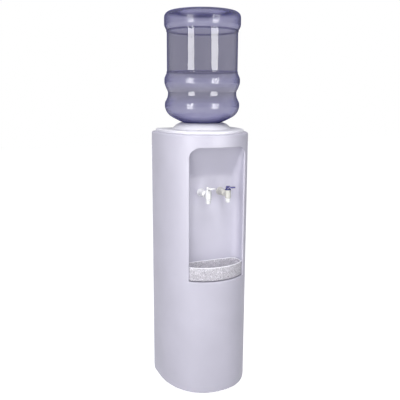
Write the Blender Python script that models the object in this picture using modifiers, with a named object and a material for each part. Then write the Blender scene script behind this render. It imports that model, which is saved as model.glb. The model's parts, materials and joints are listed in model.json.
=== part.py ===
"""Floor-standing bottled water cooler: a D-plan cabinet with a dispensing alcove, two push taps,
a pull-out drip tray, and an inverted five-gallon bottle standing in a collar on its top cover.

Frame: metres, +Z up, the front faces -Y, +X is to the right of someone facing the cooler.
The origin is the middle of the bounding box, on the floor.
"""
import math

import bmesh
import bpy

# ---------------------------------------------------------------- driving dimensions, in metres
# Cabinet
CABINET_WIDTH = 0.332
FRONT_CURVE_DEPTH = 0.210       # from the widest section forward to the middle of the front
FRONT_CURVE_POWER = 2.235       # superellipse exponent of the bowed front
SIDE_LENGTH = 0.0785            # flat sides, from the widest section back to the rear face
REAR_CORNER_RADIUS = 0.036
CONDENSER_DEPTH = 0.0415        # how far the condenser stands behind the rear face
SHELL_HEIGHT = 0.947            # floor to the shell's top rim
SHELL_WALL = 0.0025
SHELL_RIM_RADIUS = 0.006
SHELL_RIM_FLANGE = 0.021        # width of the flange that carries the top cover
SHELL_REAR_FLANGE = 0.048       # from the side to the opening that the rear panel closes
FOOT_HEIGHT = 0.0045            # gap under the plinth
PLINTH_HEIGHT = 0.0097
PLINTH_WALL = 0.011
PAN_THICKNESS = 0.002
FOOT_RADIUS = 0.016
FOOT_TIP_RADIUS = 0.0135
FOOT_INSET = 0.046              # from the cabinet's side to a foot's axis
FOOT_FROM_REAR = 0.0435

# Top cover and bottle collar
COVER_INSET = 0.015
COVER_HEIGHT = 0.0097
COVER_WALL = 0.003
COVER_EDGE_RADIUS = 0.004
BOTTLE_AXIS_FROM_REAR = 0.109   # the bottle's axis, in front of the rear face
COLLAR_SKIRT_WIDTH = 0.033      # from the collar's rim out to its base
COLLAR_HEIGHT = 0.0227
COLLAR_SLEEVE_ROOM = 0.005      # sleeve round the bottle's neck and cap
COLLAR_FUNNEL_WIDTH = 0.0175
COLLAR_SLEEVE_DROP = 0.022      # how far the sleeve reaches below the deck
COLLAR_WALL = 0.0022

# Bottle
BOTTLE_HEIGHT = 0.476
BOTTLE_RADIUS = 0.135
BOTTLE_RIB_DEPTH = 0.009
BOTTLE_SHOULDER_WIDTH = 0.0555  # from the ribs in to where the shoulder meets the neck's cone
BOTTLE_WALL = 0.0016
NECK_RADIUS = 0.0275
NECK_LENGTH = 0.062
NECK_CONE_WIDTH = 0.0345
NECK_CONE_RISE = 0.027
SHOULDER_RISE = 0.034           # from the neck to the shoulder's lowest ring
CAP_WALL = 0.0016
CAP_HEIGHT = 0.0255
CAP_HOLE_RADIUS = 0.010
BOTTLE_SEAT_GAP = 0.0014        # shoulder above the collar's rim

# Dispensing alcove
ALCOVE_WIDTH = 0.214
ALCOVE_FLOOR = 0.430
ALCOVE_LINTEL = 0.045           # shell above the window
ALCOVE_SOFFIT_HEIGHT = 0.107    # height over which the rear wall slopes forward to the top
ALCOVE_TANK_ROOM = 0.0023       # between the liner and the tank's insulation
ALCOVE_CEILING_DEPTH = 0.0052   # at the window's sides, in front of the sloping soffit
ALCOVE_CORNER_RADIUS = 0.028
WINDOW_CORNER_RADIUS = 0.036
LINER_WALL = 0.0022
LINER_FRONT_INSET = 0.0055      # the liner's front edge, behind the shell's outer face

# Drip tray
TRAY_HEIGHT = 0.0495
TRAY_WALL = 0.0025
TRAY_LEDGE = 0.0035
TRAY_FRONT_INSET = 0.005
TRAY_SIDE_GAP = 0.0035
TRAY_BACK_GAP = 0.0015
TRAY_LIFT = 0.0023              # the tray's floor above the alcove's
TRAY_CORNER_RADIUS = 0.030
GRILLE_THICKNESS = 0.003
GRILLE_DEPTH_BELOW_RIM = 0.009
GRILLE_SLOT_WIDTH = 0.0055
GRILLE_SLOT_PITCH = 0.0105
GRILLE_MARGIN = 0.007
GRILLE_MIDDLE_RIB = 0.006

# Taps
TAP_SPACING = 0.075
TAP_BELOW_TANK = 0.023          # tap's axis below the tank's floor
TAP_REACH = 0.068               # rear wall of the alcove to the valve's axis
TAP_BARREL_RADIUS = 0.0120
TAP_FLANGE_RADIUS = 0.0145
TAP_ARM_RADIUS = 0.0080         # of the horizontal arm in front of the barrel
TAP_SHANK_RADIUS = 0.0080
TAP_SHANK_LENGTH = 0.0128       # behind the liner
TAP_BORE_RADIUS = 0.0040
VALVE_RADIUS = 0.0105
VALVE_HALF_HEIGHT = 0.0145
CHAMBER_RADIUS = 0.0070
CHAMBER_FLOOR = 0.004           # below the tap's axis
SPOUT_LENGTH = 0.0150
SPOUT_RING_RADIUS = 0.0092
SPOUT_RADIUS = 0.0078
BONNET_RADIUS = 0.0112
BONNET_HEIGHT = 0.0035
PIVOT_HEIGHT = 0.0105           # lever's pivot above the bonnet's seat
EAR_THICKNESS = 0.0020
EAR_HALF_WIDTH = 0.0035
PLUNGER_RADIUS = 0.0062
PLUNGER_STEM_RADIUS = 0.0026
LEVER_HUB_RADIUS = 0.0038
LEVER_HUB_HALF = 0.0042
STEM_ROOM = 0.0010              # height of the hub's hollow above the pivot
LEVER_ARM_HALF = 0.0032
LEVER_REACH = 0.030
LEVER_BAR_WIDTH = 0.028
LEVER_BAR_DEPTH = 0.011
LEVER_THICKNESS = 0.0048
TRUNNION_RADIUS = 0.0018
WASHER_THICKNESS = 0.0015
WASHER_RADIUS = 0.0125
NUT_THICKNESS = 0.0065
NUT_RADIUS = 0.0140
NUT_FLAT_SHARE = 0.867          # half a hexagon's width across its flats, in radii

# Cold reservoir
TANK_RADIUS = 0.054
TANK_HEIGHT = 0.165
TANK_BELOW_RIM = 0.022          # tank's top below the shell's rim
TANK_WALL = 0.0012
TANK_LIP = 0.004
TANK_CORNER = 0.006
TANK_PORT_RADIUS = 0.003
TANK_PORT_X = 0.014
TANK_PORT_Y = 0.015
DRAIN_PORT_Y = 0.016
BAFFLE_HEIGHT = 0.078           # above the tank's floor
BAFFLE_THICKNESS = 0.0025
BAFFLE_PIPE_RADIUS = 0.006
COIL_TANK_ROOM = 0.0020
COIL_TAIL = 0.008               # how far the coil's ends reach behind the insulation
COIL_TUBE_RADIUS = 0.003
COIL_TURNS = 4
COIL_PITCH = 0.018
INSULATION_WALL = 0.0120
INSULATION_FLOOR = 0.0142
INSULATION_HOLE = 0.032
FEED_TUBE_RADIUS = 0.004
SHELF_THICKNESS = 0.0015
SHELF_HOLE = 0.036
SHELF_SIDE_ROOM = 0.020
SHELF_REAR_ROOM = 0.0115        # between the shelf and the refrigerant lines
SHELF_FRONT_ROOM = 0.0148       # between the liner and the shelf

# Cooling machinery
COMPRESSOR_RADIUS = 0.060
COMPRESSOR_HEIGHT = 0.138
COMPRESSOR_SEAM = 1.025         # radius of the welded seam, in compressor radii
COMPRESSOR_REAR_ROOM = 0.027    # between the seam and the cabinet's rear face
COMPRESSOR_BASE_THICKNESS = 0.005
GROMMET_HEIGHT = 0.013
GROMMET_RADIUS = 0.010
CONDENSER_BELOW_RIM = 0.267
CONDENSER_PASSES = 9
CONDENSER_PITCH = 0.058
CONDENSER_SIDE_ROOM = 0.048     # from the rear opening's edge to the tube's bends
CONDENSER_TUBE_RADIUS = 0.0024
CONDENSER_WIRE = 0.0016
CONDENSER_WIRES = 11
CONDENSER_CROSS_BARS = 4
CONDENSER_WIRE_MARGIN = 0.012
DRIER_LENGTH = 0.085
DRIER_RADIUS = 0.009
CAPILLARY_RADIUS = 0.0014
LINE_ROOM = 0.0135              # between the rear panel and the rising lines
LINE_FROM_OPENING = 0.013       # outer lines, from the rear opening's edge
RISER_X = 0.030                 # suction line and capillary, each side of the middle
BRACKET_SHEET = 0.0015
BRACKET_FOOT = 0.012
BRACKET_LIP = 0.014
REAR_PANEL_THICKNESS = 0.0012
REAR_PANEL_LAP = 0.010          # over the shell's rear flanges
SLOT_PITCH = 0.014
SLOT_HALF_HEIGHT = 0.0025

# Rear controls
KNOB_X = 0.060
KNOB_Z = 0.1675
KNOB_RADIUS = 0.016
KNOB_HEIGHT = 0.0165
KNOB_SHAFT_RADIUS = 0.0035
KNOB_STAND_OFF = 0.0010
THERMOSTAT_HALF_WIDTH = 0.018
THERMOSTAT_HALF_HEIGHT = 0.0175
THERMOSTAT_DEPTH = 0.026
INLET_X = -0.070
INLET_Z = 0.120
INLET_HALF_WIDTH = 0.0140
INLET_HALF_HEIGHT = 0.0240
INLET_DEPTH = 0.021
INLET_FLANGE = 0.003            # the flange's lap over the panel's hole
INLET_FLANGE_THICKNESS = 0.0025
SOCKET_HALF_WIDTH = 0.0115
ROCKER_HALF_HEIGHT = 0.0072
ROCKER_HALF_WIDTH = 0.0095
ROCKER_ABOVE_INLET = 0.0115
ROCKER_TILT = 8.0               # degrees either way from level
DRAIN_THREAD_RADIUS = 0.0075
DRAIN_FLANGE_RADIUS = 0.0120
DRAIN_LENGTH = 0.0190
DRAIN_CAP_RADIUS = 0.0115
DRAIN_CAP_LENGTH = 0.0200

# Clearances
GAP = 0.0003                    # between pieces that touch on the real object
RUNNING_GAP = 0.0006            # around pieces that move in others
HOLE_ROOM = 0.0005              # round fixed pieces in sheet-metal holes
LINE_HOLE_ROOM = 0.0026         # round tubes that pass through the rear panel

# ---------------------------------------------------------------- places worked out from them
HALF_WIDTH = CABINET_WIDTH / 2
OVERALL_DEPTH = FRONT_CURVE_DEPTH + SIDE_LENGTH + CONDENSER_DEPTH
FRONT_Y = -OVERALL_DEPTH / 2
WIDEST_Y = FRONT_Y + FRONT_CURVE_DEPTH
REAR_Y = WIDEST_Y + SIDE_LENGTH
REAR_OPENING = HALF_WIDTH - SHELL_REAR_FLANGE
PLINTH_TOP = FOOT_HEIGHT + PLINTH_HEIGHT
SHELL_BOTTOM = PLINTH_TOP + GAP
PAN_TOP = SHELL_BOTTOM + PAN_THICKNESS
AXIS_Y = REAR_Y - BOTTLE_AXIS_FROM_REAR
COVER_BOTTOM = SHELL_HEIGHT + GAP
DECK_Z = COVER_BOTTOM + COVER_HEIGHT
COLLAR_BASE = DECK_Z + GAP
COLLAR_TOP = COLLAR_BASE + COLLAR_HEIGHT
SHOULDER_RADIUS = BOTTLE_RADIUS - BOTTLE_SHOULDER_WIDTH
COLLAR_RIM_RADIUS = SHOULDER_RADIUS - 0.006
COLLAR_SLEEVE_RADIUS = NECK_RADIUS + COLLAR_SLEEVE_ROOM
COVER_HOLE_RADIUS = COLLAR_SLEEVE_RADIUS + COLLAR_FUNNEL_WIDTH - 0.002

TANK_TOP = SHELL_HEIGHT - TANK_BELOW_RIM
TANK_BOTTOM = TANK_TOP - TANK_HEIGHT
COIL_RADIUS = TANK_RADIUS + COIL_TUBE_RADIUS + COIL_TANK_ROOM
COIL_START_Z = TANK_BOTTOM + 0.020
COIL_END_Z = COIL_START_Z + COIL_TURNS * COIL_PITCH
INSULATION_INNER = COIL_RADIUS + COIL_TUBE_RADIUS + 0.001
INSULATION_OUTER = INSULATION_INNER + INSULATION_WALL
INSULATION_TOP = TANK_TOP - 0.003
INSULATION_SEAT = TANK_BOTTOM - GAP
INSULATION_BOTTOM = INSULATION_SEAT - INSULATION_FLOOR
COIL_TAIL_Y = AXIS_Y + INSULATION_OUTER + COIL_TAIL

ALCOVE_TOP = SHELL_HEIGHT - ALCOVE_LINTEL
ALCOVE_BREAK = ALCOVE_TOP - ALCOVE_SOFFIT_HEIGHT
LINER_BACK_Y = AXIS_Y - INSULATION_OUTER - ALCOVE_TANK_ROOM
ALCOVE_BACK_Y = LINER_BACK_Y - LINER_WALL
ALCOVE_HALF = ALCOVE_WIDTH / 2
TRAY_BOTTOM = ALCOVE_FLOOR + TRAY_LIFT
TRAY_TOP = TRAY_BOTTOM + TRAY_HEIGHT
GRILLE_Z = TRAY_TOP - GRILLE_DEPTH_BELOW_RIM - GRILLE_THICKNESS

TAP_HEIGHT = TANK_BOTTOM - TAP_BELOW_TANK
VALVE_Y = ALCOVE_BACK_Y - TAP_REACH
VALVE_TOP = TAP_HEIGHT + VALVE_HALF_HEIGHT
VALVE_BOTTOM = TAP_HEIGHT - VALVE_HALF_HEIGHT
BONNET_SEAT = VALVE_TOP + GAP
PIVOT_Z = BONNET_SEAT + PIVOT_HEIGHT
SHANK_END_Y = LINER_BACK_Y + TAP_SHANK_LENGTH
DRAIN_Z = TAP_HEIGHT

PANEL_OUTER_Y = REAR_Y - SHELL_WALL - GAP
PANEL_INNER_Y = PANEL_OUTER_Y - REAR_PANEL_THICKNESS
LINE_Y = PANEL_INNER_Y - LINE_ROOM
CONDENSER_BACK_Y = REAR_Y + CONDENSER_DEPTH
CONDENSER_TUBE_Y = CONDENSER_BACK_Y - CONDENSER_WIRE - GAP - CONDENSER_TUBE_RADIUS
CONDENSER_HALF_WIDTH = REAR_OPENING - CONDENSER_SIDE_ROOM
CONDENSER_TOP = SHELL_HEIGHT - CONDENSER_BELOW_RIM
DISCHARGE_X = REAR_OPENING - LINE_FROM_OPENING
DISCHARGE_Z = CONDENSER_TOP + 0.010
LIQUID_X = -DISCHARGE_X
LIQUID_Z = CONDENSER_TOP - (CONDENSER_PASSES - 1) * CONDENSER_PITCH
DRIER_Y = LINE_Y - 0.006
DRIER_LOW = LIQUID_Z + 0.012
DRIER_HIGH = DRIER_LOW + DRIER_LENGTH
COMPRESSOR_Y = REAR_Y - COMPRESSOR_REAR_ROOM - COMPRESSOR_SEAM * COMPRESSOR_RADIUS
COMPRESSOR_BOTTOM = PAN_TOP + GAP + GROMMET_HEIGHT + GAP
COMPRESSOR_TOP = COMPRESSOR_BOTTOM + COMPRESSOR_HEIGHT
COMPRESSOR_PORT_Z = COMPRESSOR_BOTTOM + 0.095
COMPRESSOR_PORT_RADIUS = COMPRESSOR_RADIUS + 0.0010
GROMMET_SPREAD_X = COMPRESSOR_RADIUS + 0.006
GROMMET_SPREAD_Y = COMPRESSOR_RADIUS - 0.012


# ---------------------------------------------------------------- scene, collections, materials
for old in list(bpy.data.objects):
    bpy.data.objects.remove(old, do_unlink=True)

cooler = bpy.data.collections.new("bottled_water_cooler")
cutters = bpy.data.collections.new("cutters")
bpy.context.scene.collection.children.link(cooler)
bpy.context.scene.collection.children.link(cutters)


def material(name, colour, roughness, metallic=0.0, alpha=1.0):
    mat = bpy.data.materials.new(name)
    mat.use_nodes = True
    shader = mat.node_tree.nodes["Principled BSDF"]
    shader.inputs["Base Color"].default_value = (*colour, 1.0)
    shader.inputs["Roughness"].default_value = roughness
    shader.inputs["Metallic"].default_value = metallic
    shader.inputs["Alpha"].default_value = alpha
    return mat


CABINET_PLASTIC = material("cabinet_plastic", (0.74, 0.73, 0.80), 0.35)
COVER_PLASTIC = material("cover_plastic", (0.80, 0.80, 0.86), 0.30)
LINER_PLASTIC = material("liner_plastic", (0.68, 0.67, 0.75), 0.40)
TRAY_PLASTIC = material("tray_plastic", (0.50, 0.50, 0.54), 0.55)
TAP_PLASTIC = material("tap_plastic", (0.88, 0.88, 0.88), 0.25)
NAVY_PLASTIC = material("navy_plastic", (0.03, 0.03, 0.12), 0.35)
BOTTLE_PLASTIC = material("bottle_plastic", (0.45, 0.45, 0.75), 0.08, alpha=0.4)
CAP_PLASTIC = material("cap_plastic", (0.55, 0.65, 0.85), 0.40)
STAINLESS = material("stainless", (0.62, 0.62, 0.62), 0.30, 1.0)
COPPER = material("copper", (0.72, 0.36, 0.20), 0.35, 1.0)
BLACK_STEEL = material("black_steel", (0.03, 0.03, 0.03), 0.45)
GALVANISED = material("galvanised_steel", (0.55, 0.56, 0.58), 0.50, 1.0)
FOAM = material("foam", (0.85, 0.84, 0.78), 0.90)
SILICONE = material("silicone", (0.80, 0.80, 0.78), 0.50)
RUBBER = material("rubber", (0.04, 0.04, 0.04), 0.80)
BLACK_PLASTIC = material("black_plastic", (0.05, 0.05, 0.05), 0.45)


# ---------------------------------------------------------------- modelling helpers
def add(name, mesh, mat, location=(0, 0, 0), rotation=(0, 0, 0)):
    """Put a mesh or curve in the cooler's collection; with no material it is a cutter."""
    obj = bpy.data.objects.new(name, mesh)
    obj.location = location
    obj.rotation_euler = rotation
    if mat is None:
        obj.hide_render = True
        obj.display_type = "WIRE"
        cutters.objects.link(obj)
    else:
        mesh.materials.append(mat)
        cooler.objects.link(obj)
    return obj


def smooth(obj, angle=40):
    obj.data.shade_smooth()
    obj.data.set_sharp_from_angle(angle=math.radians(angle))
    return obj


def bmesh_object(name, build, mat, **place):
    mesh = bpy.data.meshes.new(name)
    shape = bmesh.new()
    build(shape)
    shape.to_mesh(mesh)
    shape.free()
    return add(name, mesh, mat, **place)


def box(name, low, high, mat, bevel=0.0):
    """A box between two opposite corners, with its edges rounded."""
    size = [top - bottom for bottom, top in zip(low, high)]
    middle = [(top + bottom) / 2 for bottom, top in zip(low, high)]

    def build(shape):
        bmesh.ops.create_cube(shape, size=1.0)
        bmesh.ops.scale(shape, vec=size, verts=shape.verts)

    obj = bmesh_object(name, build, mat, location=middle)
    if bevel:
        round_edges(obj, bevel)
    return obj


def round_edges(obj, width, segments=2):
    mod = obj.modifiers.new("rounded_edges", "BEVEL")
    mod.width = width
    mod.segments = segments
    mod.limit_method = "ANGLE"


def cylinder(name, radius, low, high, mat, axis="Z", sides=16):
    """A cylinder of the given radius between two points on a line along the axis."""
    turn = {"X": (0, math.pi / 2, 0), "Y": (math.pi / 2, 0, 0), "Z": (0, 0, 0)}[axis]
    length = math.dist(low, high)
    middle = [(a + b) / 2 for a, b in zip(low, high)]

    def build(shape):
        bmesh.ops.create_cone(shape, cap_ends=True, segments=sides, radius1=radius,
                              radius2=radius, depth=length)

    return bmesh_object(name, build, mat, location=middle, rotation=turn)


def turned(name, profile, mat, steps=16, closed=False, **place):
    """A solid of revolution about Z; the profile runs down its outer side, at +X."""
    mesh = bpy.data.meshes.new(name)
    edges = [(i, i + 1) for i in range(len(profile) - 1)]
    if closed:
        edges.append((len(profile) - 1, 0))
    mesh.from_pydata([(radius, 0, z) for radius, z in profile], edges, [])
    obj = add(name, mesh, mat, **place)
    mod = obj.modifiers.new("turn", "SCREW")
    mod.steps = steps
    mod.render_steps = steps
    mod.use_merge_vertices = True
    mod.merge_threshold = 0.00001
    mod.use_smooth_shade = True
    return obj


def thicken(obj, wall):
    """Give an open surface its wall, on the side its normals point away from."""
    mod = obj.modifiers.new("wall", "SOLIDIFY")
    mod.thickness = wall
    mod.offset = -1
    mod.use_even_offset = True


def plate(name, outlines, thickness, mat, edge=0.0, **place):
    """A flat outline, with any holes, standing from z = 0 to its thickness; edge rounds its rim."""
    curve = bpy.data.curves.new(name, "CURVE")
    curve.dimensions = "2D"
    curve.fill_mode = "BOTH"
    curve.extrude = thickness / 2 - edge
    curve.bevel_depth = edge
    curve.bevel_resolution = 1
    for outline in outlines:
        spline = curve.splines.new("POLY")
        spline.points.add(len(outline) - 1)
        for point, (x, y) in zip(spline.points, outline):
            point.co = (x, y, thickness / 2, 1)
        spline.use_cyclic_u = True
    return solid_from_curve(name, curve, mat, weld=0.00002, lift=thickness / 2, **place)


def solid_from_curve(name, curve, mat, weld, lift=0.0, **place):
    """Make a curve's evaluated shape a mesh with welded caps."""
    guide = bpy.data.objects.new(name + "_guide", curve)
    bpy.context.scene.collection.objects.link(guide)
    graph = bpy.context.evaluated_depsgraph_get()
    mesh = bpy.data.meshes.new_from_object(guide.evaluated_get(graph))
    bpy.data.objects.remove(guide, do_unlink=True)
    shape = bmesh.new()
    shape.from_mesh(mesh)
    bmesh.ops.remove_doubles(shape, verts=shape.verts, dist=weld)
    lowest = min(vert.co.z for vert in shape.verts)
    if lift:
        bmesh.ops.translate(shape, vec=(0, 0, -lowest), verts=shape.verts)
    bmesh.ops.recalc_face_normals(shape, faces=shape.faces)
    shape.to_mesh(mesh)
    shape.free()
    mesh.materials.clear()
    mesh.name = name
    return add(name, mesh, mat, **place)


def tube(name, points, radius, mat, location=(0, 0, 0)):
    """A round tube or wire along a run of points."""
    curve = bpy.data.curves.new(name, "CURVE")
    curve.dimensions = "3D"
    curve.bevel_depth = radius
    curve.bevel_resolution = 2
    curve.use_fill_caps = True
    spline = curve.splines.new("POLY")
    spline.points.add(len(points) - 1)
    for point, place in zip(spline.points, points):
        point.co = (*place, 1)
    return add(name, curve, mat, location=location)


def skin(name, rows, mat, caps=(), **place):
    """An open surface through rows of points, each row as long as the others."""
    def build(shape):
        grid = [[shape.verts.new(point) for point in row] for row in rows]
        for lower, upper in zip(grid, grid[1:]):
            for i in range(len(lower) - 1):
                shape.faces.new((lower[i], lower[i + 1], upper[i + 1], upper[i]))
        for index, rest, flip in caps:
            ring = grid[index] + [shape.verts.new(point) for point in rest]
            shape.faces.new(ring[::-1] if flip else ring)

    return bmesh_object(name, build, mat, **place)


def combine(obj, tool, operation):
    mod = obj.modifiers.new(operation.lower() + "_" + tool.name, "BOOLEAN")
    mod.operation = operation
    mod.solver = "EXACT"
    mod.object = tool
    return obj


def cut(obj, *tools):
    for tool in tools:
        combine(obj, tool, "DIFFERENCE")
    return obj


def join(obj, *tools):
    for tool in tools:
        combine(obj, tool, "UNION")
    return obj


def circle(radius, centre=(0, 0), sides=12):
    step = math.tau / sides
    return [(centre[0] + radius * math.cos(i * step), centre[1] + radius * math.sin(i * step))
            for i in range(sides)]


def arc(centre, radius, start, end, steps):
    """Points of an arc from one angle to another, in degrees."""
    angles = [math.radians(start + (end - start) * i / steps) for i in range(steps + 1)]
    return [(centre[0] + radius * math.cos(a), centre[1] + radius * math.sin(a)) for a in angles]


def rounded_rectangle(half_x, half_y, radius, centre=(0, 0), steps=3):
    points = []
    for quarter, (sx, sy) in enumerate(((1, 1), (-1, 1), (-1, -1), (1, -1))):
        corner = (centre[0] + sx * (half_x - radius), centre[1] + sy * (half_y - radius))
        points += arc(corner, radius, 90 * quarter, 90 * quarter + 90, steps)
    return points


def bend(points, steps=6):
    """A smooth run through the given points, straight in its first and last stretches."""
    ends = [points[1]] + list(points[1:-1]) + [points[-2]]
    run = [tuple(points[0])]
    for before, start, end, after in zip(ends, ends[1:], ends[2:], ends[3:]):
        for i in range(steps):
            t = i / steps
            run.append(tuple(
                0.5 * (2 * b + (c - a) * t + (2 * a - 5 * b + 4 * c - d) * t * t
                       + (3 * b - a - 3 * c + d) * t ** 3)
                for a, b, c, d in zip(before, start, end, after)))
    return run + [tuple(points[-2]), tuple(points[-1])]


# ---------------------------------------------------------------- the cabinet's plan
def front_y(x, inset=0.0):
    """Y of the bowed front at a given x, moved inwards by inset."""
    share = abs(x) / (HALF_WIDTH - inset)
    depth = FRONT_CURVE_DEPTH - inset
    return WIDEST_Y - depth * (1 - share ** FRONT_CURVE_POWER) ** (1 / FRONT_CURVE_POWER)


def front_x(y, inset=0.0):
    """Half the plan's width at a given y on the bowed front."""
    share = (WIDEST_Y - y) / (FRONT_CURVE_DEPTH - inset)
    width = HALF_WIDTH - inset
    return width * (1 - share ** FRONT_CURVE_POWER) ** (1 / FRONT_CURVE_POWER)


def cabinet_line(inset, rear_x, front_steps=15, corner_steps=3):
    """The plan, moved inwards, from the rear left round the front to the rear right."""
    side = HALF_WIDTH - inset
    depth = FRONT_CURVE_DEPTH - inset
    rear = REAR_Y - inset
    radius = REAR_CORNER_RADIUS - inset
    power = 2 / FRONT_CURVE_POWER
    right = [(rear_x, rear)] + arc((side - radius, rear - radius), radius, 90, 0, corner_steps)
    for i in range(front_steps + 1):
        angle = math.pi / 2 * i / front_steps
        right.append((side * math.cos(angle) ** power,
                      WIDEST_Y - depth * math.sin(angle) ** power))
    right[-1] = (0.0, WIDEST_Y - depth)
    left = [(-x, y) for x, y in right[:-1]]
    return left + right[::-1]


def cabinet_outline(inset):
    """The same plan as a closed outline."""
    return cabinet_line(inset, 0.0)[1:]


# ---------------------------------------------------------------- cabinet
def make_shell():
    rows = [(SHELL_BOTTOM, 0.0)]
    for angle in (0, 45, 90):
        turn = math.radians(angle)
        rows.append((SHELL_HEIGHT - SHELL_RIM_RADIUS * (1 - math.sin(turn)),
                     SHELL_RIM_RADIUS * (1 - math.cos(turn))))
    rows.append((SHELL_HEIGHT, SHELL_RIM_FLANGE))
    shell = skin("cabinet_shell",
                 [[(x, y, z) for x, y in cabinet_line(inset, REAR_OPENING)]
                  for z, inset in rows], CABINET_PLASTIC)
    thicken(shell, SHELL_WALL)
    middle_z = (ALCOVE_FLOOR + ALCOVE_TOP) / 2
    half_z = (ALCOVE_TOP - ALCOVE_FLOOR) / 2
    corner = WINDOW_CORNER_RADIUS
    outline = (arc((ALCOVE_HALF - corner, half_z - corner), corner, 0, 90, 4)
               + arc((corner - ALCOVE_HALF, half_z - corner), corner, 90, 180, 4)
               + [(-ALCOVE_HALF, -half_z), (ALCOVE_HALF, -half_z)])
    window = plate("window_cutter", [outline], 2 * (ALCOVE_BACK_Y - FRONT_Y), None,
                   location=(0, ALCOVE_BACK_Y, middle_z), rotation=(math.pi / 2, 0, 0))
    cut(shell, window)
    smooth(shell)


def make_plinth():
    plate("base_plinth", [cabinet_outline(0.001), cabinet_outline(PLINTH_WALL)[::-1]],
          PLINTH_HEIGHT, CABINET_PLASTIC, location=(0, 0, FOOT_HEIGHT))


def make_base_pan():
    plate("base_pan", [cabinet_outline(SHELL_WALL + RUNNING_GAP)],
          PAN_THICKNESS, GALVANISED, location=(0, 0, SHELL_BOTTOM))


def foot_places():
    """Each foot's name with its X and Y."""
    front_y_of_feet = WIDEST_Y - FRONT_CURVE_DEPTH / 2
    rows = (("front", front_x(front_y_of_feet), front_y_of_feet),
            ("rear", HALF_WIDTH, REAR_Y - FOOT_FROM_REAR))
    return [(f"foot_{row}_{side}", sign * (half - FOOT_INSET), y)
            for row, half, y in rows for side, sign in (("left", -1), ("right", 1))]


def make_feet():
    top = SHELL_BOTTOM - GAP
    chamfer = 0.003
    for name, x, y in foot_places():
        turned(name, [(0, top), (FOOT_RADIUS, top), (FOOT_RADIUS, chamfer), (FOOT_TIP_RADIUS, 0),
                      (0, 0)], RUBBER, steps=12, location=(x, y, 0))


def rear_slots(z, rows, half_length):
    """Outlines of ventilation slots, one above the other."""
    return [rounded_rectangle(half_length, SLOT_HALF_HEIGHT, SLOT_HALF_HEIGHT - 0.0001,
                              (0, z + SLOT_PITCH * row), 1)[::-1] for row in range(rows)]


def make_rear_panel():
    """The panel is drawn as seen from behind, so X is mirrored in its outlines."""
    low, high = PAN_TOP + 0.002, SHELL_HEIGHT - 0.007
    half = REAR_OPENING + REAR_PANEL_LAP
    outline = rounded_rectangle(half, (high - low) / 2, 0.004, (0, (high + low) / 2), 2)
    line_hole = CONDENSER_TUBE_RADIUS + LINE_HOLE_ROOM
    holes = [
        rounded_rectangle(INLET_HALF_WIDTH + HOLE_ROOM, INLET_HALF_HEIGHT + HOLE_ROOM, HOLE_ROOM,
                          (-INLET_X, INLET_Z), 1),
        circle(KNOB_SHAFT_RADIUS + GAP + HOLE_ROOM, (-KNOB_X, KNOB_Z)),
        circle(DRAIN_THREAD_RADIUS + 2 * HOLE_ROOM, (0, DRAIN_Z)),
        circle(line_hole, (-DISCHARGE_X, DISCHARGE_Z)),
        circle(line_hole, (-LIQUID_X, LIQUID_Z)),
    ]
    slots = (rear_slots(SHELL_HEIGHT - 0.097, 5, REAR_OPENING - 0.048)
             + rear_slots(PAN_TOP + 0.0195, 3, REAR_OPENING - 0.028))
    plate("rear_panel", [outline] + [hole[::-1] for hole in holes] + slots, REAR_PANEL_THICKNESS,
          GALVANISED, location=(0, PANEL_INNER_Y, 0), rotation=(math.pi / 2, 0, math.pi))


def make_top_cover():
    inset = COVER_INSET + COVER_EDGE_RADIUS
    cover = plate("top_cover", [cabinet_outline(inset)], COVER_HEIGHT, COVER_PLASTIC,
                  edge=COVER_EDGE_RADIUS, location=(0, 0, COVER_BOTTOM))
    pocket = plate("cover_pocket_cutter", [cabinet_outline(inset + COVER_WALL)],
                   COVER_HEIGHT, None, location=(0, 0, COVER_BOTTOM - COVER_WALL))
    hole = cylinder("cover_hole_cutter", COVER_HOLE_RADIUS, (0, AXIS_Y, COVER_BOTTOM - 0.02),
                    (0, AXIS_Y, DECK_Z + 0.02), None, sides=24)
    cut(cover, pocket, hole)
    smooth(cover)


def alcove_row(z, back_y, radius):
    """One level of the liner: front right, round the back, to front left."""
    front = front_y(ALCOVE_HALF, LINER_FRONT_INSET)
    right = [(ALCOVE_HALF, front)] + arc((ALCOVE_HALF - radius, back_y - radius), radius, 0, 90, 4)
    left = [(-x, y) for x, y in reversed(right)]
    return [(x, y, z) for x, y in right + left]


def make_liner():
    front_points = 9
    sill = [-ALCOVE_HALF + ALCOVE_WIDTH * i / (front_points + 1)
            for i in range(1, front_points + 1)]
    top_back = front_y(ALCOVE_HALF, LINER_FRONT_INSET) + ALCOVE_CEILING_DEPTH
    rows = [alcove_row(ALCOVE_FLOOR, ALCOVE_BACK_Y, ALCOVE_CORNER_RADIUS),
            alcove_row(ALCOVE_BREAK, ALCOVE_BACK_Y, ALCOVE_CORNER_RADIUS),
            alcove_row(ALCOVE_TOP, top_back, 0.002)]
    floor = [(x, front_y(x, LINER_FRONT_INSET), ALCOVE_FLOOR) for x in sill]
    ceiling = [(x, front_y(x, LINER_FRONT_INSET), ALCOVE_TOP) for x in sill]
    liner = skin("alcove_liner", [row[::-1] for row in rows], LINER_PLASTIC,
                 caps=((0, floor[::-1], True), (2, ceiling[::-1], False)))
    thicken(liner, LINER_WALL)
    for side, x in tap_sides():
        hole = cylinder("liner_hole_cutter_" + side, TAP_SHANK_RADIUS + RUNNING_GAP,
                        (x, ALCOVE_BACK_Y - 0.01, TAP_HEIGHT), (x, LINER_BACK_Y + 0.01, TAP_HEIGHT),
                        None, axis="Y", sides=12)
        cut(liner, hole)
    smooth(liner)


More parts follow.
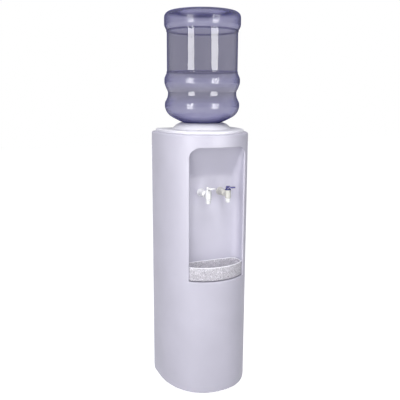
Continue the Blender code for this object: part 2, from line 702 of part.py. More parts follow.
# ---------------------------------------------------------------- drip tray
def tray_outline(inset):
    side = ALCOVE_HALF - TRAY_SIDE_GAP - inset
    back = ALCOVE_BACK_Y - TRAY_BACK_GAP - inset
    radius = TRAY_CORNER_RADIUS - inset
    steps = 12
    front = [(-side + 2 * side * i / steps) for i in range(steps + 1)]
    return ([(x, front_y(x, TRAY_FRONT_INSET + inset)) for x in front]
            + arc((side - radius, back - radius), radius, 0, 90, 3)
            + arc((radius - side, back - radius), radius, 90, 180, 3))


def make_tray():
    shelf_z = GRILLE_Z - GAP
    tray = plate("drip_tray", [tray_outline(0)], TRAY_HEIGHT, TRAY_PLASTIC,
                 location=(0, 0, TRAY_BOTTOM))
    well = plate("tray_well_cutter", [tray_outline(TRAY_WALL + TRAY_LEDGE)], TRAY_HEIGHT, None,
                 location=(0, 0, TRAY_BOTTOM + TRAY_WALL))
    rim = plate("tray_rim_cutter", [tray_outline(TRAY_WALL)], TRAY_HEIGHT, None,
                location=(0, 0, shelf_z))
    cut(tray, well, rim)


def make_grille():
    slots = []
    y = ALCOVE_BACK_Y - TRAY_BACK_GAP - TRAY_WALL - 2 * GRILLE_MARGIN
    front_inset = TRAY_FRONT_INSET + TRAY_WALL + GRILLE_MARGIN
    side = ALCOVE_HALF - TRAY_SIDE_GAP - TRAY_WALL - GRILLE_MARGIN
    while y > FRONT_Y + front_inset + GRILLE_SLOT_WIDTH:
        reach = min(side, front_x(y - GRILLE_SLOT_WIDTH / 2, front_inset))
        half = (reach - GRILLE_MIDDLE_RIB / 2) / 2
        if half > GRILLE_SLOT_WIDTH:
            for sign in (-1, 1):
                middle = (sign * (GRILLE_MIDDLE_RIB / 2 + half), y)
                slots.append(rounded_rectangle(half, GRILLE_SLOT_WIDTH / 2,
                                               GRILLE_SLOT_WIDTH * 0.49, middle, 1)[::-1])
        y -= GRILLE_SLOT_PITCH
    plate("drip_grille", [tray_outline(TRAY_WALL + RUNNING_GAP)] + slots, GRILLE_THICKNESS,
          TRAY_PLASTIC, location=(0, 0, GRILLE_Z))


# ---------------------------------------------------------------- collar and bottle
def make_collar():
    rise = COLLAR_HEIGHT
    skirt = [(1.00, 0.00), (1.00, 0.06), (0.90, 0.21), (0.70, 0.52), (0.455, 0.78), (0.12, 0.970)]
    outer = [(COLLAR_RIM_RADIUS + COLLAR_SKIRT_WIDTH * out, COLLAR_BASE + rise * up)
             for out, up in reversed(skirt)]
    funnel = [(COLLAR_SLEEVE_RADIUS, DECK_Z - COLLAR_SLEEVE_DROP),
              (COLLAR_SLEEVE_RADIUS, DECK_Z - 0.009),
              (COLLAR_SLEEVE_RADIUS + COLLAR_FUNNEL_WIDTH, DECK_Z + 0.009),
              (COLLAR_RIM_RADIUS - 0.0040, COLLAR_TOP - 0.0025)]
    collar = turned("bottle_collar", funnel + outer, COVER_PLASTIC, steps=28,
                    location=(0, AXIS_Y, 0))
    thicken(collar, COLLAR_WALL)


def bottle_profile():
    """The bottle's outer profile as it stands inverted, from its base down, and its mouth's height."""
    cone = NECK_RADIUS + NECK_CONE_WIDTH
    share = (COLLAR_RIM_RADIUS - cone) / (SHOULDER_RADIUS - cone)
    rim_rise = NECK_CONE_RISE + (SHOULDER_RISE - NECK_CONE_RISE) * share
    mouth = COLLAR_TOP + BOTTLE_SEAT_GAP - rim_rise - NECK_LENGTH
    top = mouth + BOTTLE_HEIGHT
    neck_top = mouth + NECK_LENGTH
    rib = BOTTLE_RADIUS
    body = BOTTLE_RADIUS - BOTTLE_RIB_DEPTH
    first = top - 0.0375
    last = neck_top + SHOULDER_RISE + 0.0565
    middle = last + 0.085
    points = [(0, top - 0.014), (rib - 0.070, top - 0.011), (rib - 0.045, top),
              (rib - 0.024, top - 0.0004), (rib - 0.0120, top - 0.0030),
              (rib - 0.0045, top - 0.0085), (rib - 0.0006, top - 0.0155)]
    points += [(rib, first + 0.0095), (rib, first - 0.0095), (rib - 0.0043, first - 0.0202),
               (body, first - 0.0315)]
    points += [(body, middle + 0.0330), (rib - 0.0025, middle + 0.0165),
               (rib + 0.0003, middle + 0.0055), (rib + 0.0003, middle - 0.0060),
               (rib - 0.0066, middle - 0.0265), (rib - 0.0122, middle - 0.0400)]
    points += [(rib - 0.0065, last + 0.0200), (rib - 0.0010, last + 0.0080),
               (rib - 0.0010, last - 0.0080), (rib - 0.0090, last - 0.0265),
               (rib - 0.0200, last - 0.0375), (rib - 0.0390, last - 0.0485),
               (SHOULDER_RADIUS, last - 0.0565)]
    points += [(cone, neck_top + NECK_CONE_RISE), (NECK_RADIUS + 0.0175, neck_top + 0.0195),
               (NECK_RADIUS + 0.0065, neck_top + 0.0110), (NECK_RADIUS, neck_top),
               (NECK_RADIUS, mouth)]
    return points, mouth


def make_bottle():
    points, mouth = bottle_profile()
    bottle = turned("water_bottle", points, BOTTLE_PLASTIC, steps=24, location=(0, AXIS_Y, 0))
    thicken(bottle, BOTTLE_WALL)
    inner = NECK_RADIUS + RUNNING_GAP
    outer = inner + CAP_WALL
    floor = mouth - GAP
    under = floor - CAP_WALL
    top = under + CAP_HEIGHT
    profile = [(inner, top), (outer, top), (outer, under), (CAP_HOLE_RADIUS, under),
               (CAP_HOLE_RADIUS, floor), (inner, floor)]
    turned("bottle_cap", profile, CAP_PLASTIC, closed=True, location=(0, AXIS_Y, 0))


# ---------------------------------------------------------------- taps
def tap_sides():
    return (("left", -TAP_SPACING / 2), ("right", TAP_SPACING / 2))


FORWARD = (math.pi / 2, 0, 0)       # turns local +Z to point at the front
BACKWARD = (-math.pi / 2, 0, 0)     # turns local +Z to point at the rear


def make_tap_body(side, x):
    """Wall flange, barrel and threaded shank on one line, with the valve standing across its end."""
    wall = ALCOVE_BACK_Y - GAP
    reach = wall - VALVE_Y
    back = wall - SHANK_END_Y
    nose = reach + 0.0045
    barrel_end = reach - 0.0260
    body = turned("tap_body_" + side, [
        (0, nose), (TAP_ARM_RADIUS, nose - 0.0010), (TAP_ARM_RADIUS, barrel_end + 0.0040),
        (TAP_BARREL_RADIUS - 0.0015, barrel_end + 0.0020), (TAP_BARREL_RADIUS, barrel_end),
        (TAP_BARREL_RADIUS, 0.0040), (TAP_FLANGE_RADIUS, 0.0030), (TAP_FLANGE_RADIUS, 0),
        (TAP_SHANK_RADIUS, 0), (TAP_SHANK_RADIUS, back), (0, back)],
        TAP_PLASTIC, location=(x, wall, TAP_HEIGHT), rotation=FORWARD)
    valve = cylinder("tap_valve_tool_" + side, VALVE_RADIUS, (x, VALVE_Y, VALVE_BOTTOM),
                     (x, VALVE_Y, VALVE_TOP), None)
    chamber = cylinder("tap_chamber_cutter_" + side, CHAMBER_RADIUS,
                       (x, VALVE_Y, TAP_HEIGHT - CHAMBER_FLOOR), (x, VALVE_Y, VALVE_TOP + 0.01),
                       None, sides=12)
    outlet = cylinder("tap_outlet_cutter_" + side, TAP_BORE_RADIUS,
                      (x, VALVE_Y, VALVE_BOTTOM - 0.01), (x, VALVE_Y, TAP_HEIGHT), None, sides=10)
    inlet_z = TAP_HEIGHT + 0.001
    inlet = cylinder("tap_inlet_cutter_" + side, TAP_BORE_RADIUS, (x, VALVE_Y, inlet_z),
                     (x, SHANK_END_Y + 0.01, inlet_z), None, axis="Y", sides=10)
    cut(join(body, valve), chamber, outlet, inlet)


def make_spout(side, x):
    """Spout with its two rings, hanging under the valve."""
    top = VALVE_BOTTOM - GAP
    low = top - SPOUT_LENGTH
    second_ring = SPOUT_RING_RADIUS - 0.0004
    turned("tap_spout_" + side, [
        (TAP_BORE_RADIUS, top), (SPOUT_RING_RADIUS, top), (SPOUT_RING_RADIUS, top - 0.0040),
        (SPOUT_RADIUS, top - 0.0050), (SPOUT_RADIUS, top - 0.0080), (second_ring, top - 0.0090),
        (second_ring, top - 0.0110), (SPOUT_RADIUS, top - 0.0120), (SPOUT_RADIUS - 0.0008, low),
        (TAP_BORE_RADIUS + 0.001, low)],
        TAP_PLASTIC, steps=14, closed=True, location=(x, VALVE_Y, 0))


def make_bonnet(side, x):
    """A cap ring with two ears for the lever's trunnions."""
    seat = BONNET_SEAT
    bore = PLUNGER_STEM_RADIUS + 0.0008
    bonnet = turned("tap_bonnet_" + side, [
        (bore, seat + BONNET_HEIGHT), (BONNET_RADIUS - 0.0027, seat + BONNET_HEIGHT),
        (BONNET_RADIUS, seat + 0.0020), (BONNET_RADIUS, seat), (bore, seat)],
        TAP_PLASTIC, closed=True, location=(x, VALVE_Y, 0))
    for name, sign in (("a", -1), ("b", 1)):
        near = LEVER_HUB_HALF + RUNNING_GAP
        inner, outer = sorted((x + sign * near, x + sign * (near + EAR_THICKNESS)))
        ear = box(f"tap_ear_tool_{name}_{side}", (inner, VALVE_Y - EAR_HALF_WIDTH, seat + 0.0020),
                  (outer, VALVE_Y + EAR_HALF_WIDTH, PIVOT_Z + EAR_HALF_WIDTH), None)
        join(bonnet, ear)
    pivot = cylinder("tap_pivot_cutter_" + side, TRUNNION_RADIUS + GAP, (x - 0.02, VALVE_Y, PIVOT_Z),
                     (x + 0.02, VALVE_Y, PIVOT_Z), None, axis="X", sides=10)
    cut(bonnet, pivot)


def make_plunger(side, x):
    """Its cone closes the outlet, and its stem stands up through the bonnet into the lever's hub."""
    low = TAP_HEIGHT - CHAMBER_FLOOR + GAP
    stem_top = PIVOT_Z - LEVER_HUB_RADIUS - GAP
    turned("tap_plunger_" + side, [
        (0, stem_top), (PLUNGER_STEM_RADIUS, stem_top), (PLUNGER_STEM_RADIUS, low + 0.0090),
        (PLUNGER_RADIUS, low + 0.0085), (PLUNGER_RADIUS, low + 0.0010),
        (PLUNGER_RADIUS - 0.0017, low), (0, low)],
        SILICONE, steps=12, location=(x, VALVE_Y, 0))


def make_lever(side, x, mat):
    """A hub on two trunnions, hollow below for the stem, with an arm forwards and a bar to press."""
    hub, half = LEVER_HUB_RADIUS, LEVER_HUB_HALF
    lever = cylinder("tap_lever_" + side, hub, (x - half, VALVE_Y, PIVOT_Z),
                     (x + half, VALVE_Y, PIVOT_Z), mat, axis="X", sides=12)
    pin = half + RUNNING_GAP + EAR_THICKNESS - 0.0002
    trunnion = cylinder("tap_trunnion_tool_" + side, TRUNNION_RADIUS, (x - pin, VALVE_Y, PIVOT_Z),
                        (x + pin, VALVE_Y, PIVOT_Z), None, axis="X", sides=10)
    front = VALVE_Y - LEVER_REACH
    arm = box("tap_arm_tool_" + side, (x - LEVER_ARM_HALF, front, PIVOT_Z + 0.0002),
              (x + LEVER_ARM_HALF, VALVE_Y, PIVOT_Z + 0.0034), None)
    bar_front, bar_low = front - 0.0012, PIVOT_Z - 0.0006
    bar = box("tap_bar_tool_" + side, (x - LEVER_BAR_WIDTH / 2, bar_front, bar_low),
              (x + LEVER_BAR_WIDTH / 2, bar_front + LEVER_BAR_DEPTH, bar_low + LEVER_THICKNESS),
              None, bevel=0.0012)
    room = PLUNGER_STEM_RADIUS + GAP
    slot = box("tap_slot_cutter_" + side, (x - room, VALVE_Y - 2 * hub, PIVOT_Z - 2 * hub),
               (x + room, VALVE_Y + 2 * hub, PIVOT_Z + STEM_ROOM), None)
    cut(join(lever, trunnion), slot)
    join(lever, arm, bar)


def make_tap_fixings(side, x):
    """Washer and lock nut on the shank, behind the liner."""
    near = LINER_BACK_Y + GAP
    bore = TAP_SHANK_RADIUS + GAP
    turned("tap_washer_" + side, [(bore, WASHER_THICKNESS), (WASHER_RADIUS, WASHER_THICKNESS),
                                  (WASHER_RADIUS, 0), (bore, 0)],
           RUBBER, steps=12, closed=True, location=(x, near + WASHER_THICKNESS, TAP_HEIGHT),
           rotation=FORWARD)
    plate("tap_nut_" + side, [circle(NUT_RADIUS, sides=6), circle(bore + GAP)[::-1]],
          NUT_THICKNESS, TAP_PLASTIC,
          location=(x, near + WASHER_THICKNESS + GAP + NUT_THICKNESS, TAP_HEIGHT),
          rotation=FORWARD)


def make_feed_hose(side, x):
    """Silicone hose from the tank's outlet to the shank."""
    z = TAP_HEIGHT
    port = math.copysign(TANK_PORT_X, x)
    start = (port, AXIS_Y - TANK_PORT_Y, TANK_BOTTOM - GAP - 0.0008)
    run = bend([start, (port, start[1], INSULATION_SEAT - 0.010),
                (port * 1.1, start[1] - 0.001, z + 0.004), (port * 1.6, start[1] - 0.012, z),
                (x, SHANK_END_Y + 0.010, z), (x, SHANK_END_Y + GAP, z)], 3)
    tube("feed_hose_" + side, run, FEED_TUBE_RADIUS, SILICONE)


# ---------------------------------------------------------------- cold reservoir
def make_tank():
    outer, inner = TANK_RADIUS, TANK_RADIUS - TANK_WALL
    floor = TANK_BOTTOM + TANK_WALL
    corner, lip = TANK_CORNER, TANK_RADIUS + TANK_LIP
    tank = turned("cold_tank", [
        (0, floor), (inner - corner, floor), (inner, floor + corner), (inner, TANK_TOP),
        (lip, TANK_TOP), (lip, TANK_TOP - TANK_WALL), (outer, TANK_TOP - TANK_WALL),
        (outer, TANK_BOTTOM + corner), (outer - corner, TANK_BOTTOM), (0, TANK_BOTTOM)],
        STAINLESS, steps=20, location=(0, AXIS_Y, 0))
    ports = [("left", -TANK_PORT_X, -TANK_PORT_Y), ("right", TANK_PORT_X, -TANK_PORT_Y),
             ("drain", 0, DRAIN_PORT_Y)]
    for name, x, y in ports:
        cut(tank, cylinder("tank_port_cutter_" + name, TANK_PORT_RADIUS,
                           (x, AXIS_Y + y, TANK_BOTTOM - 0.01), (x, AXIS_Y + y, floor + 0.01),
                           None, sides=8))


def make_gasket():
    outer, inner = TANK_RADIUS + TANK_LIP, TANK_RADIUS - TANK_LIP
    low, high = TANK_TOP + GAP, TANK_TOP + 0.005
    turned("tank_gasket", [(inner, high), (outer, high), (outer, low), (inner, low)], SILICONE,
           steps=20, closed=True, location=(0, AXIS_Y, 0))


def make_baffle():
    """A disc that keeps warm water above cold, with a pipe through it towards the floor."""
    outer, level = TANK_RADIUS - TANK_WALL - 0.0015, TANK_BOTTOM + BAFFLE_HEIGHT
    pipe, bore = BAFFLE_PIPE_RADIUS, BAFFLE_PIPE_RADIUS - 0.002
    pipe_end = TANK_BOTTOM + TANK_WALL + 0.012
    turned("tank_baffle", [
        (bore, level + BAFFLE_THICKNESS), (outer, level + BAFFLE_THICKNESS), (outer, level),
        (pipe, level), (pipe, pipe_end), (bore, pipe_end)],
        TAP_PLASTIC, steps=16, closed=True, location=(0, AXIS_Y, 0))


def make_insulation():
    """Two foam halves round the tank, notched for the coil's ends and relieved over the nuts."""
    profile = [(INSULATION_INNER, INSULATION_TOP), (INSULATION_OUTER, INSULATION_TOP),
               (INSULATION_OUTER, INSULATION_BOTTOM), (INSULATION_HOLE, INSULATION_BOTTOM),
               (INSULATION_HOLE, INSULATION_SEAT), (INSULATION_INNER, INSULATION_SEAT)]
    notch = box("insulation_notch_cutter",
                (-0.013, AXIS_Y + TANK_RADIUS, COIL_START_Z - 0.008),
                (0.013, AXIS_Y + INSULATION_OUTER + 0.02, COIL_END_Z + 0.008), None)
    reach = 2 * INSULATION_OUTER
    for side, sign in (("left", -1), ("right", 1)):
        half = turned("insulation_" + side, profile, FOAM, steps=24, closed=True,
                      location=(0, AXIS_Y, 0))
        low_x, high_x = sorted((sign * GAP / 2, -sign * reach))
        other = box("insulation_split_cutter_" + side, (low_x, AXIS_Y - reach, TANK_BOTTOM - 0.1),
                    (high_x, AXIS_Y + reach, TANK_TOP + 0.1), None)
        nut_x = sign * TAP_SPACING / 2
        room = NUT_RADIUS + RUNNING_GAP
        nut_end = LINER_BACK_Y + WASHER_THICKNESS + NUT_THICKNESS + 2 * GAP + RUNNING_GAP
        pocket = box("insulation_nut_cutter_" + side,
                     (nut_x - room, ALCOVE_BACK_Y, TAP_HEIGHT - room),
                     (nut_x + room, nut_end, TAP_HEIGHT + room * NUT_FLAT_SHARE), None)
        cut(half, other, notch, pocket)


def make_coil():
    """The evaporator: tube wound round the tank, with both ends pointing out at the back."""
    per_turn = 16
    half_gap = 0.10                     # radians each side of the rear, left for the two ends
    start_turn = math.pi / 2 + half_gap
    sweep = math.tau * COIL_TURNS - 2 * half_gap
    steps = COIL_TURNS * per_turn
    turns = []
    for i in range(steps + 1):
        angle = start_turn + sweep * i / steps
        turns.append((COIL_RADIUS * math.cos(angle), AXIS_Y + COIL_RADIUS * math.sin(angle),
                      COIL_START_Z + (COIL_END_Z - COIL_START_Z) * i / steps))
    near = AXIS_Y + COIL_RADIUS + 0.004
    points = ([(-0.0075, COIL_TAIL_Y, COIL_START_Z), (-0.0070, near, COIL_START_Z)] + turns
              + [(0.0070, near, COIL_END_Z), (0.0075, COIL_TAIL_Y, COIL_END_Z)])
    tube("evaporator_coil", points, COIL_TUBE_RADIUS, COPPER)


def make_shelf():
    """The sheet that the insulated tank stands on."""
    front, rear = LINER_BACK_Y + SHELF_FRONT_ROOM, LINE_Y - SHELF_REAR_ROOM
    outline = rounded_rectangle(HALF_WIDTH - SHELF_SIDE_ROOM, (rear - front) / 2, 0.004,
                                (0, (front + rear) / 2), 2)
    plate("tank_shelf", [outline, circle(SHELF_HOLE, (0, AXIS_Y), 16)[::-1]], SHELF_THICKNESS,
          GALVANISED, location=(0, 0, INSULATION_BOTTOM - GAP - SHELF_THICKNESS))


# ---------------------------------------------------------------- cooling machinery
def make_compressor():
    r, z0, z1, height = COMPRESSOR_RADIUS, COMPRESSOR_BOTTOM, COMPRESSOR_TOP, COMPRESSOR_HEIGHT
    seam = COMPRESSOR_SEAM * r
    foot = z0 + COMPRESSOR_BASE_THICKNESS - 0.001
    shares = [(0.35, 0.02), (0.68, 0.09), (0.90, 0.21), (1.0, 0.38), (1.0, 0.56)]
    lower = [(1.0, 0.62), (0.96, 0.80), (0.82, 0.92)]
    body = turned("compressor",
                  [(0, z1)] + [(out * r, z1 - down * height) for out, down in shares]
                  + [(seam, z1 - 0.57 * height), (seam, z1 - 0.61 * height)]
                  + [(out * r, z1 - down * height) for out, down in lower]
                  + [(0.60 * r, foot), (0, foot)],
                  BLACK_STEEL, steps=20, location=(0, COMPRESSOR_Y, 0))
    base = plate("compressor_base_tool",
                 [rounded_rectangle(GROMMET_SPREAD_X + 0.013, GROMMET_SPREAD_Y + 0.011, 0.010)],
                 COMPRESSOR_BASE_THICKNESS, None, location=(0, COMPRESSOR_Y, z0))
    join(body, base)


def make_grommets():
    low = PAN_TOP + GAP
    high = low + GROMMET_HEIGHT
    rim, waist = GROMMET_RADIUS, GROMMET_RADIUS - 0.0035
    profile = [(0, high), (rim - 0.001, high), (rim - 0.001, high - 0.003), (waist, high - 0.005),
               (waist, low + 0.005), (rim, low + 0.003), (rim, low), (0, low)]
    for row, sign_y in (("front", -1), ("rear", 1)):
        for side, sign_x in (("left", -1), ("right", 1)):
            turned(f"compressor_grommet_{row}_{side}", profile, RUBBER, steps=10,
                   location=(sign_x * GROMMET_SPREAD_X, COMPRESSOR_Y + sign_y * GROMMET_SPREAD_Y, 0))


def make_relay_cover():
    front = COMPRESSOR_Y - COMPRESSOR_SEAM * COMPRESSOR_RADIUS
    half_width, depth = 0.022, 0.023
    box("relay_cover", (-half_width, front - depth, COMPRESSOR_BOTTOM + 0.045),
        (half_width, front - GAP, COMPRESSOR_BOTTOM + 0.095), BLACK_PLASTIC, bevel=0.004)


def make_condenser_tube():
    """Passes one below the other joined by half-round bends, then the liquid line into the cabinet."""
    half, y = CONDENSER_HALF_WIDTH, CONDENSER_TUBE_Y
    radius = CONDENSER_PITCH / 2
    points = []
    for row in range(CONDENSER_PASSES):
        z = CONDENSER_TOP - row * CONDENSER_PITCH
        sign = 1 if row % 2 == 0 else -1
        points.append((sign * half, y, z))
        if row < CONDENSER_PASSES - 1:
            for dx, dz in arc((0, -radius), radius, 90, -90, 3):
                points.append((-sign * (half + dx), y, z + dz))
    x, z = LIQUID_X, LIQUID_Z
    ends = [(-half, y, z), (x + 0.004, y, z), (x, y - 0.005, z), (x, DRIER_Y + 0.006, z),
            (x, DRIER_Y + 0.0015, z + 0.002), (x, DRIER_Y, z + 0.006), (x, DRIER_Y, DRIER_LOW - GAP)]
    tube("condenser_tube", points + ends, CONDENSER_TUBE_RADIUS, BLACK_STEEL)


def make_drier():
    low, high, neck = DRIER_LOW, DRIER_HIGH, 0.003
    turned("filter_drier", [
        (0, high), (neck, high), (neck, high - 0.006), (DRIER_RADIUS, high - 0.014),
        (DRIER_RADIUS, low + 0.014), (neck, low + 0.006), (neck, low), (0, low)],
        COPPER, steps=12, location=(LIQUID_X, DRIER_Y, 0))


def make_condenser_wires():
    """The wire grid welded behind the tube, as one flat lattice."""
    low, high = LIQUID_Z - CONDENSER_WIRE_MARGIN, CONDENSER_TOP + CONDENSER_WIRE_MARGIN
    reach = CONDENSER_HALF_WIDTH - 0.004
    edge = reach + CONDENSER_WIRE / 2
    pitch = 2 * reach / (CONDENSER_WIRES - 1)
    half_cell = (pitch - CONDENSER_WIRE) / 2
    rows = CONDENSER_CROSS_BARS - 1
    cell_height = (high - low - CONDENSER_CROSS_BARS * CONDENSER_WIRE) / rows
    outline = [(-edge, low), (edge, low), (edge, high), (-edge, high)]
    cells = []
    for column in range(CONDENSER_WIRES - 1):
        x = -reach + pitch * (column + 0.5)
        for row in range(rows):
            z = low + CONDENSER_WIRE + row * (cell_height + CONDENSER_WIRE)
            cells.append([(x - half_cell, z), (x - half_cell, z + cell_height),
                          (x + half_cell, z + cell_height), (x + half_cell, z)])
    plate("condenser_wires", [outline] + cells, CONDENSER_WIRE, BLACK_STEEL,
          location=(0, CONDENSER_BACK_Y - CONDENSER_WIRE, 0), rotation=(math.pi / 2, 0, math.pi))


def make_brackets():
    """Bent sheet that holds the condenser off the rear panel, one each side."""
    sheet, foot = BRACKET_SHEET, PANEL_OUTER_Y + GAP
    lip = CONDENSER_TUBE_Y - CONDENSER_TUBE_RADIUS - GAP
    web = CONDENSER_HALF_WIDTH + CONDENSER_PITCH / 2 + CONDENSER_TUBE_RADIUS + 0.0015
    end = 0.022
    low, high = LIQUID_Z + end, CONDENSER_TOP - end
    section = [(web - BRACKET_LIP, lip - sheet), (web, lip - sheet), (web, foot),
               (web + BRACKET_FOOT, foot), (web + BRACKET_FOOT, foot + sheet),
               (web + sheet, foot + sheet), (web + sheet, lip), (web - BRACKET_LIP, lip)]
    for side, sign in (("left", -1), ("right", 1)):
        plate("condenser_bracket_" + side, [[(sign * x, y) for x, y in section]], high - low,
              GALVANISED, location=(0, 0, low))


def make_discharge_line():
    """Hot gas from the compressor up to the condenser's first pass."""
    x, y, z = DISCHARGE_X, LINE_Y, COMPRESSOR_PORT_Z
    side = COMPRESSOR_PORT_RADIUS * math.sin(math.pi / 4)
    port = (side, COMPRESSOR_Y + side, z)
    end_x, end_y = CONDENSER_HALF_WIDTH + GAP, CONDENSER_TUBE_Y
    tube("discharge_line", bend([
        port, (port[0] + 0.012, port[1] + 0.010, z), (x - 0.010, y - 0.004, z + 0.010),
        (x, y, z + 0.060), (x, y, (z + DISCHARGE_Z) / 2), (x, y, DISCHARGE_Z - 0.020),
        (x, y + 0.009, DISCHARGE_Z), (x, PANEL_OUTER_Y + 0.008, DISCHARGE_Z),
        (x - 0.001, end_y - 0.006, DISCHARGE_Z - 0.006), (end_x + 0.010, end_y, CONDENSER_TOP),
        (end_x + 0.004, end_y, CONDENSER_TOP), (end_x, end_y, CONDENSER_TOP)], 2),
        CONDENSER_TUBE_RADIUS, COPPER)


def make_suction_line():
    """Cold gas from the evaporator's upper end back down to the compressor."""
    x, y, z, tail = RISER_X, LINE_Y, COMPRESSOR_PORT_Z, COIL_TAIL_Y + GAP
    port_y = COMPRESSOR_Y + COMPRESSOR_PORT_RADIUS
    tube("suction_line", bend([
        (0.0075, tail, COIL_END_Z), (0.0075, tail + 0.003, COIL_END_Z),
        (x - 0.008, y, COIL_END_Z - 0.020), (x, y, COIL_END_Z - 0.060),
        (x, y, COIL_END_Z - 0.352), (x, y, z + 0.115), (x - 0.014, y, z + 0.035),
        (0.002, port_y + 0.008, z + 0.006), (0, port_y, z)], 2), COIL_TUBE_RADIUS, COPPER)


def make_capillary():
    """Fine tube from the drier up to the evaporator's lower end."""
    x, y, high, tail = -RISER_X, LINE_Y, DRIER_HIGH, COIL_TAIL_Y + GAP
    tube("capillary_tube", bend([
        (LIQUID_X, DRIER_Y, high + GAP), (LIQUID_X, DRIER_Y, high + 0.020),
        (LIQUID_X + 0.025, y, high + 0.047), (x - 0.004, y, high + 0.127),
        (x, y, COIL_START_Z - 0.220), (x, y, COIL_START_Z - 0.030),
        (x + 0.014, y, COIL_START_Z - 0.006), (-0.0075, tail + 0.003, COIL_START_Z),
        (-0.0075, tail, COIL_START_Z)], 2), CAPILLARY_RADIUS, COPPER)


# ---------------------------------------------------------------- rear controls
def make_thermostat():
    box("thermostat",
        (KNOB_X - THERMOSTAT_HALF_WIDTH, PANEL_INNER_Y - THERMOSTAT_DEPTH,
         KNOB_Z - THERMOSTAT_HALF_HEIGHT),
        (KNOB_X + THERMOSTAT_HALF_WIDTH, PANEL_INNER_Y - GAP, KNOB_Z + THERMOSTAT_HALF_HEIGHT),
        BLACK_PLASTIC, bevel=0.002)


def make_knob():
    """Knob with a pointer groove, its shaft standing in the panel's hole."""
    face, shaft_end = KNOB_STAND_OFF, GAP - REAR_PANEL_THICKNESS
    knob = turned("thermostat_knob", [
        (0, KNOB_HEIGHT), (KNOB_RADIUS - 0.0025, KNOB_HEIGHT), (KNOB_RADIUS - 0.0010, KNOB_HEIGHT - 0.0015),
        (KNOB_RADIUS, face + 0.0010), (KNOB_RADIUS, face), (KNOB_SHAFT_RADIUS, face),
        (KNOB_SHAFT_RADIUS, shaft_end), (0, shaft_end)], BLACK_PLASTIC, steps=20,
        location=(KNOB_X, PANEL_OUTER_Y, KNOB_Z), rotation=BACKWARD)
    pointer = box("knob_pointer_cutter",
                  (KNOB_X - 0.0010, PANEL_OUTER_Y + KNOB_HEIGHT - 0.0010, KNOB_Z + 0.0030),
                  (KNOB_X + 0.0010, PANEL_OUTER_Y + 2 * KNOB_HEIGHT, KNOB_Z + 2 * KNOB_RADIUS), None)
    cut(knob, pointer)


def make_power_inlet():
    """Appliance inlet with three pins, and a pocket for the rocker above it, in one housing."""
    x, z = INLET_X, INLET_Z
    half_x, half_z, lap = INLET_HALF_WIDTH, INLET_HALF_HEIGHT, INLET_FLANGE
    back = PANEL_INNER_Y - INLET_DEPTH
    outer = PANEL_OUTER_Y + GAP
    face = outer + INLET_FLANGE_THICKNESS
    housing = box("power_inlet", (x - half_x, back, z - half_z),
                  (x + half_x, face - 0.001, z + half_z), BLACK_PLASTIC)
    flange = box("inlet_flange_tool", (x - half_x - lap, outer, z - half_z - lap),
                 (x + half_x + lap, face, z + half_z + lap), None)
    socket = box("inlet_socket_cutter", (x - SOCKET_HALF_WIDTH, back + 0.003, z - 0.0210),
                 (x + SOCKET_HALF_WIDTH, face + 0.01, z - 0.0050), None)
    room_x, room_z = ROCKER_HALF_WIDTH + 0.0010, ROCKER_HALF_HEIGHT + 0.0013
    rocker_z = z + ROCKER_ABOVE_INLET
    pocket = box("rocker_pocket_cutter", (x - room_x, face - 0.0105, rocker_z - room_z),
                 (x + room_x, face + 0.01, rocker_z + room_z), None)
    cut(join(housing, flange), socket, pocket)
    pin = 0.001
    for name, dx, dz in (("a", -0.007, -0.011), ("b", 0.007, -0.011), ("earth", 0, -0.015)):
        blade = box("inlet_pin_tool_" + name, (x + dx - pin, back + 0.002, z + dz - 2 * pin),
                    (x + dx + pin, back + 0.014, z + dz + 2 * pin), None)
        join(housing, blade)


def make_rocker():
    """Its section is drawn in (Y, Z), tilted to the off side, and extruded across its width."""
    half = ROCKER_HALF_HEIGHT
    outline = [(0.0040, 0.0), (0.0030, half), (0.0, half + 0.0003), (-0.0045, 0.0030),
               (-0.0060, 0.0), (-0.0045, -0.0030), (0.0, -half - 0.0003), (0.0030, -half)]
    turn = math.radians(ROCKER_TILT)
    tilted = [(y * math.cos(turn) - z * math.sin(turn), y * math.sin(turn) + z * math.cos(turn))
              for y, z in outline]
    face = PANEL_OUTER_Y + GAP + INLET_FLANGE_THICKNESS
    plate("power_rocker", [tilted[::-1]], 2 * ROCKER_HALF_WIDTH, BLACK_PLASTIC,
          location=(INLET_X - ROCKER_HALF_WIDTH, face - 0.0020, INLET_Z + ROCKER_ABOVE_INLET),
          rotation=(math.pi / 2, 0, math.pi / 2))


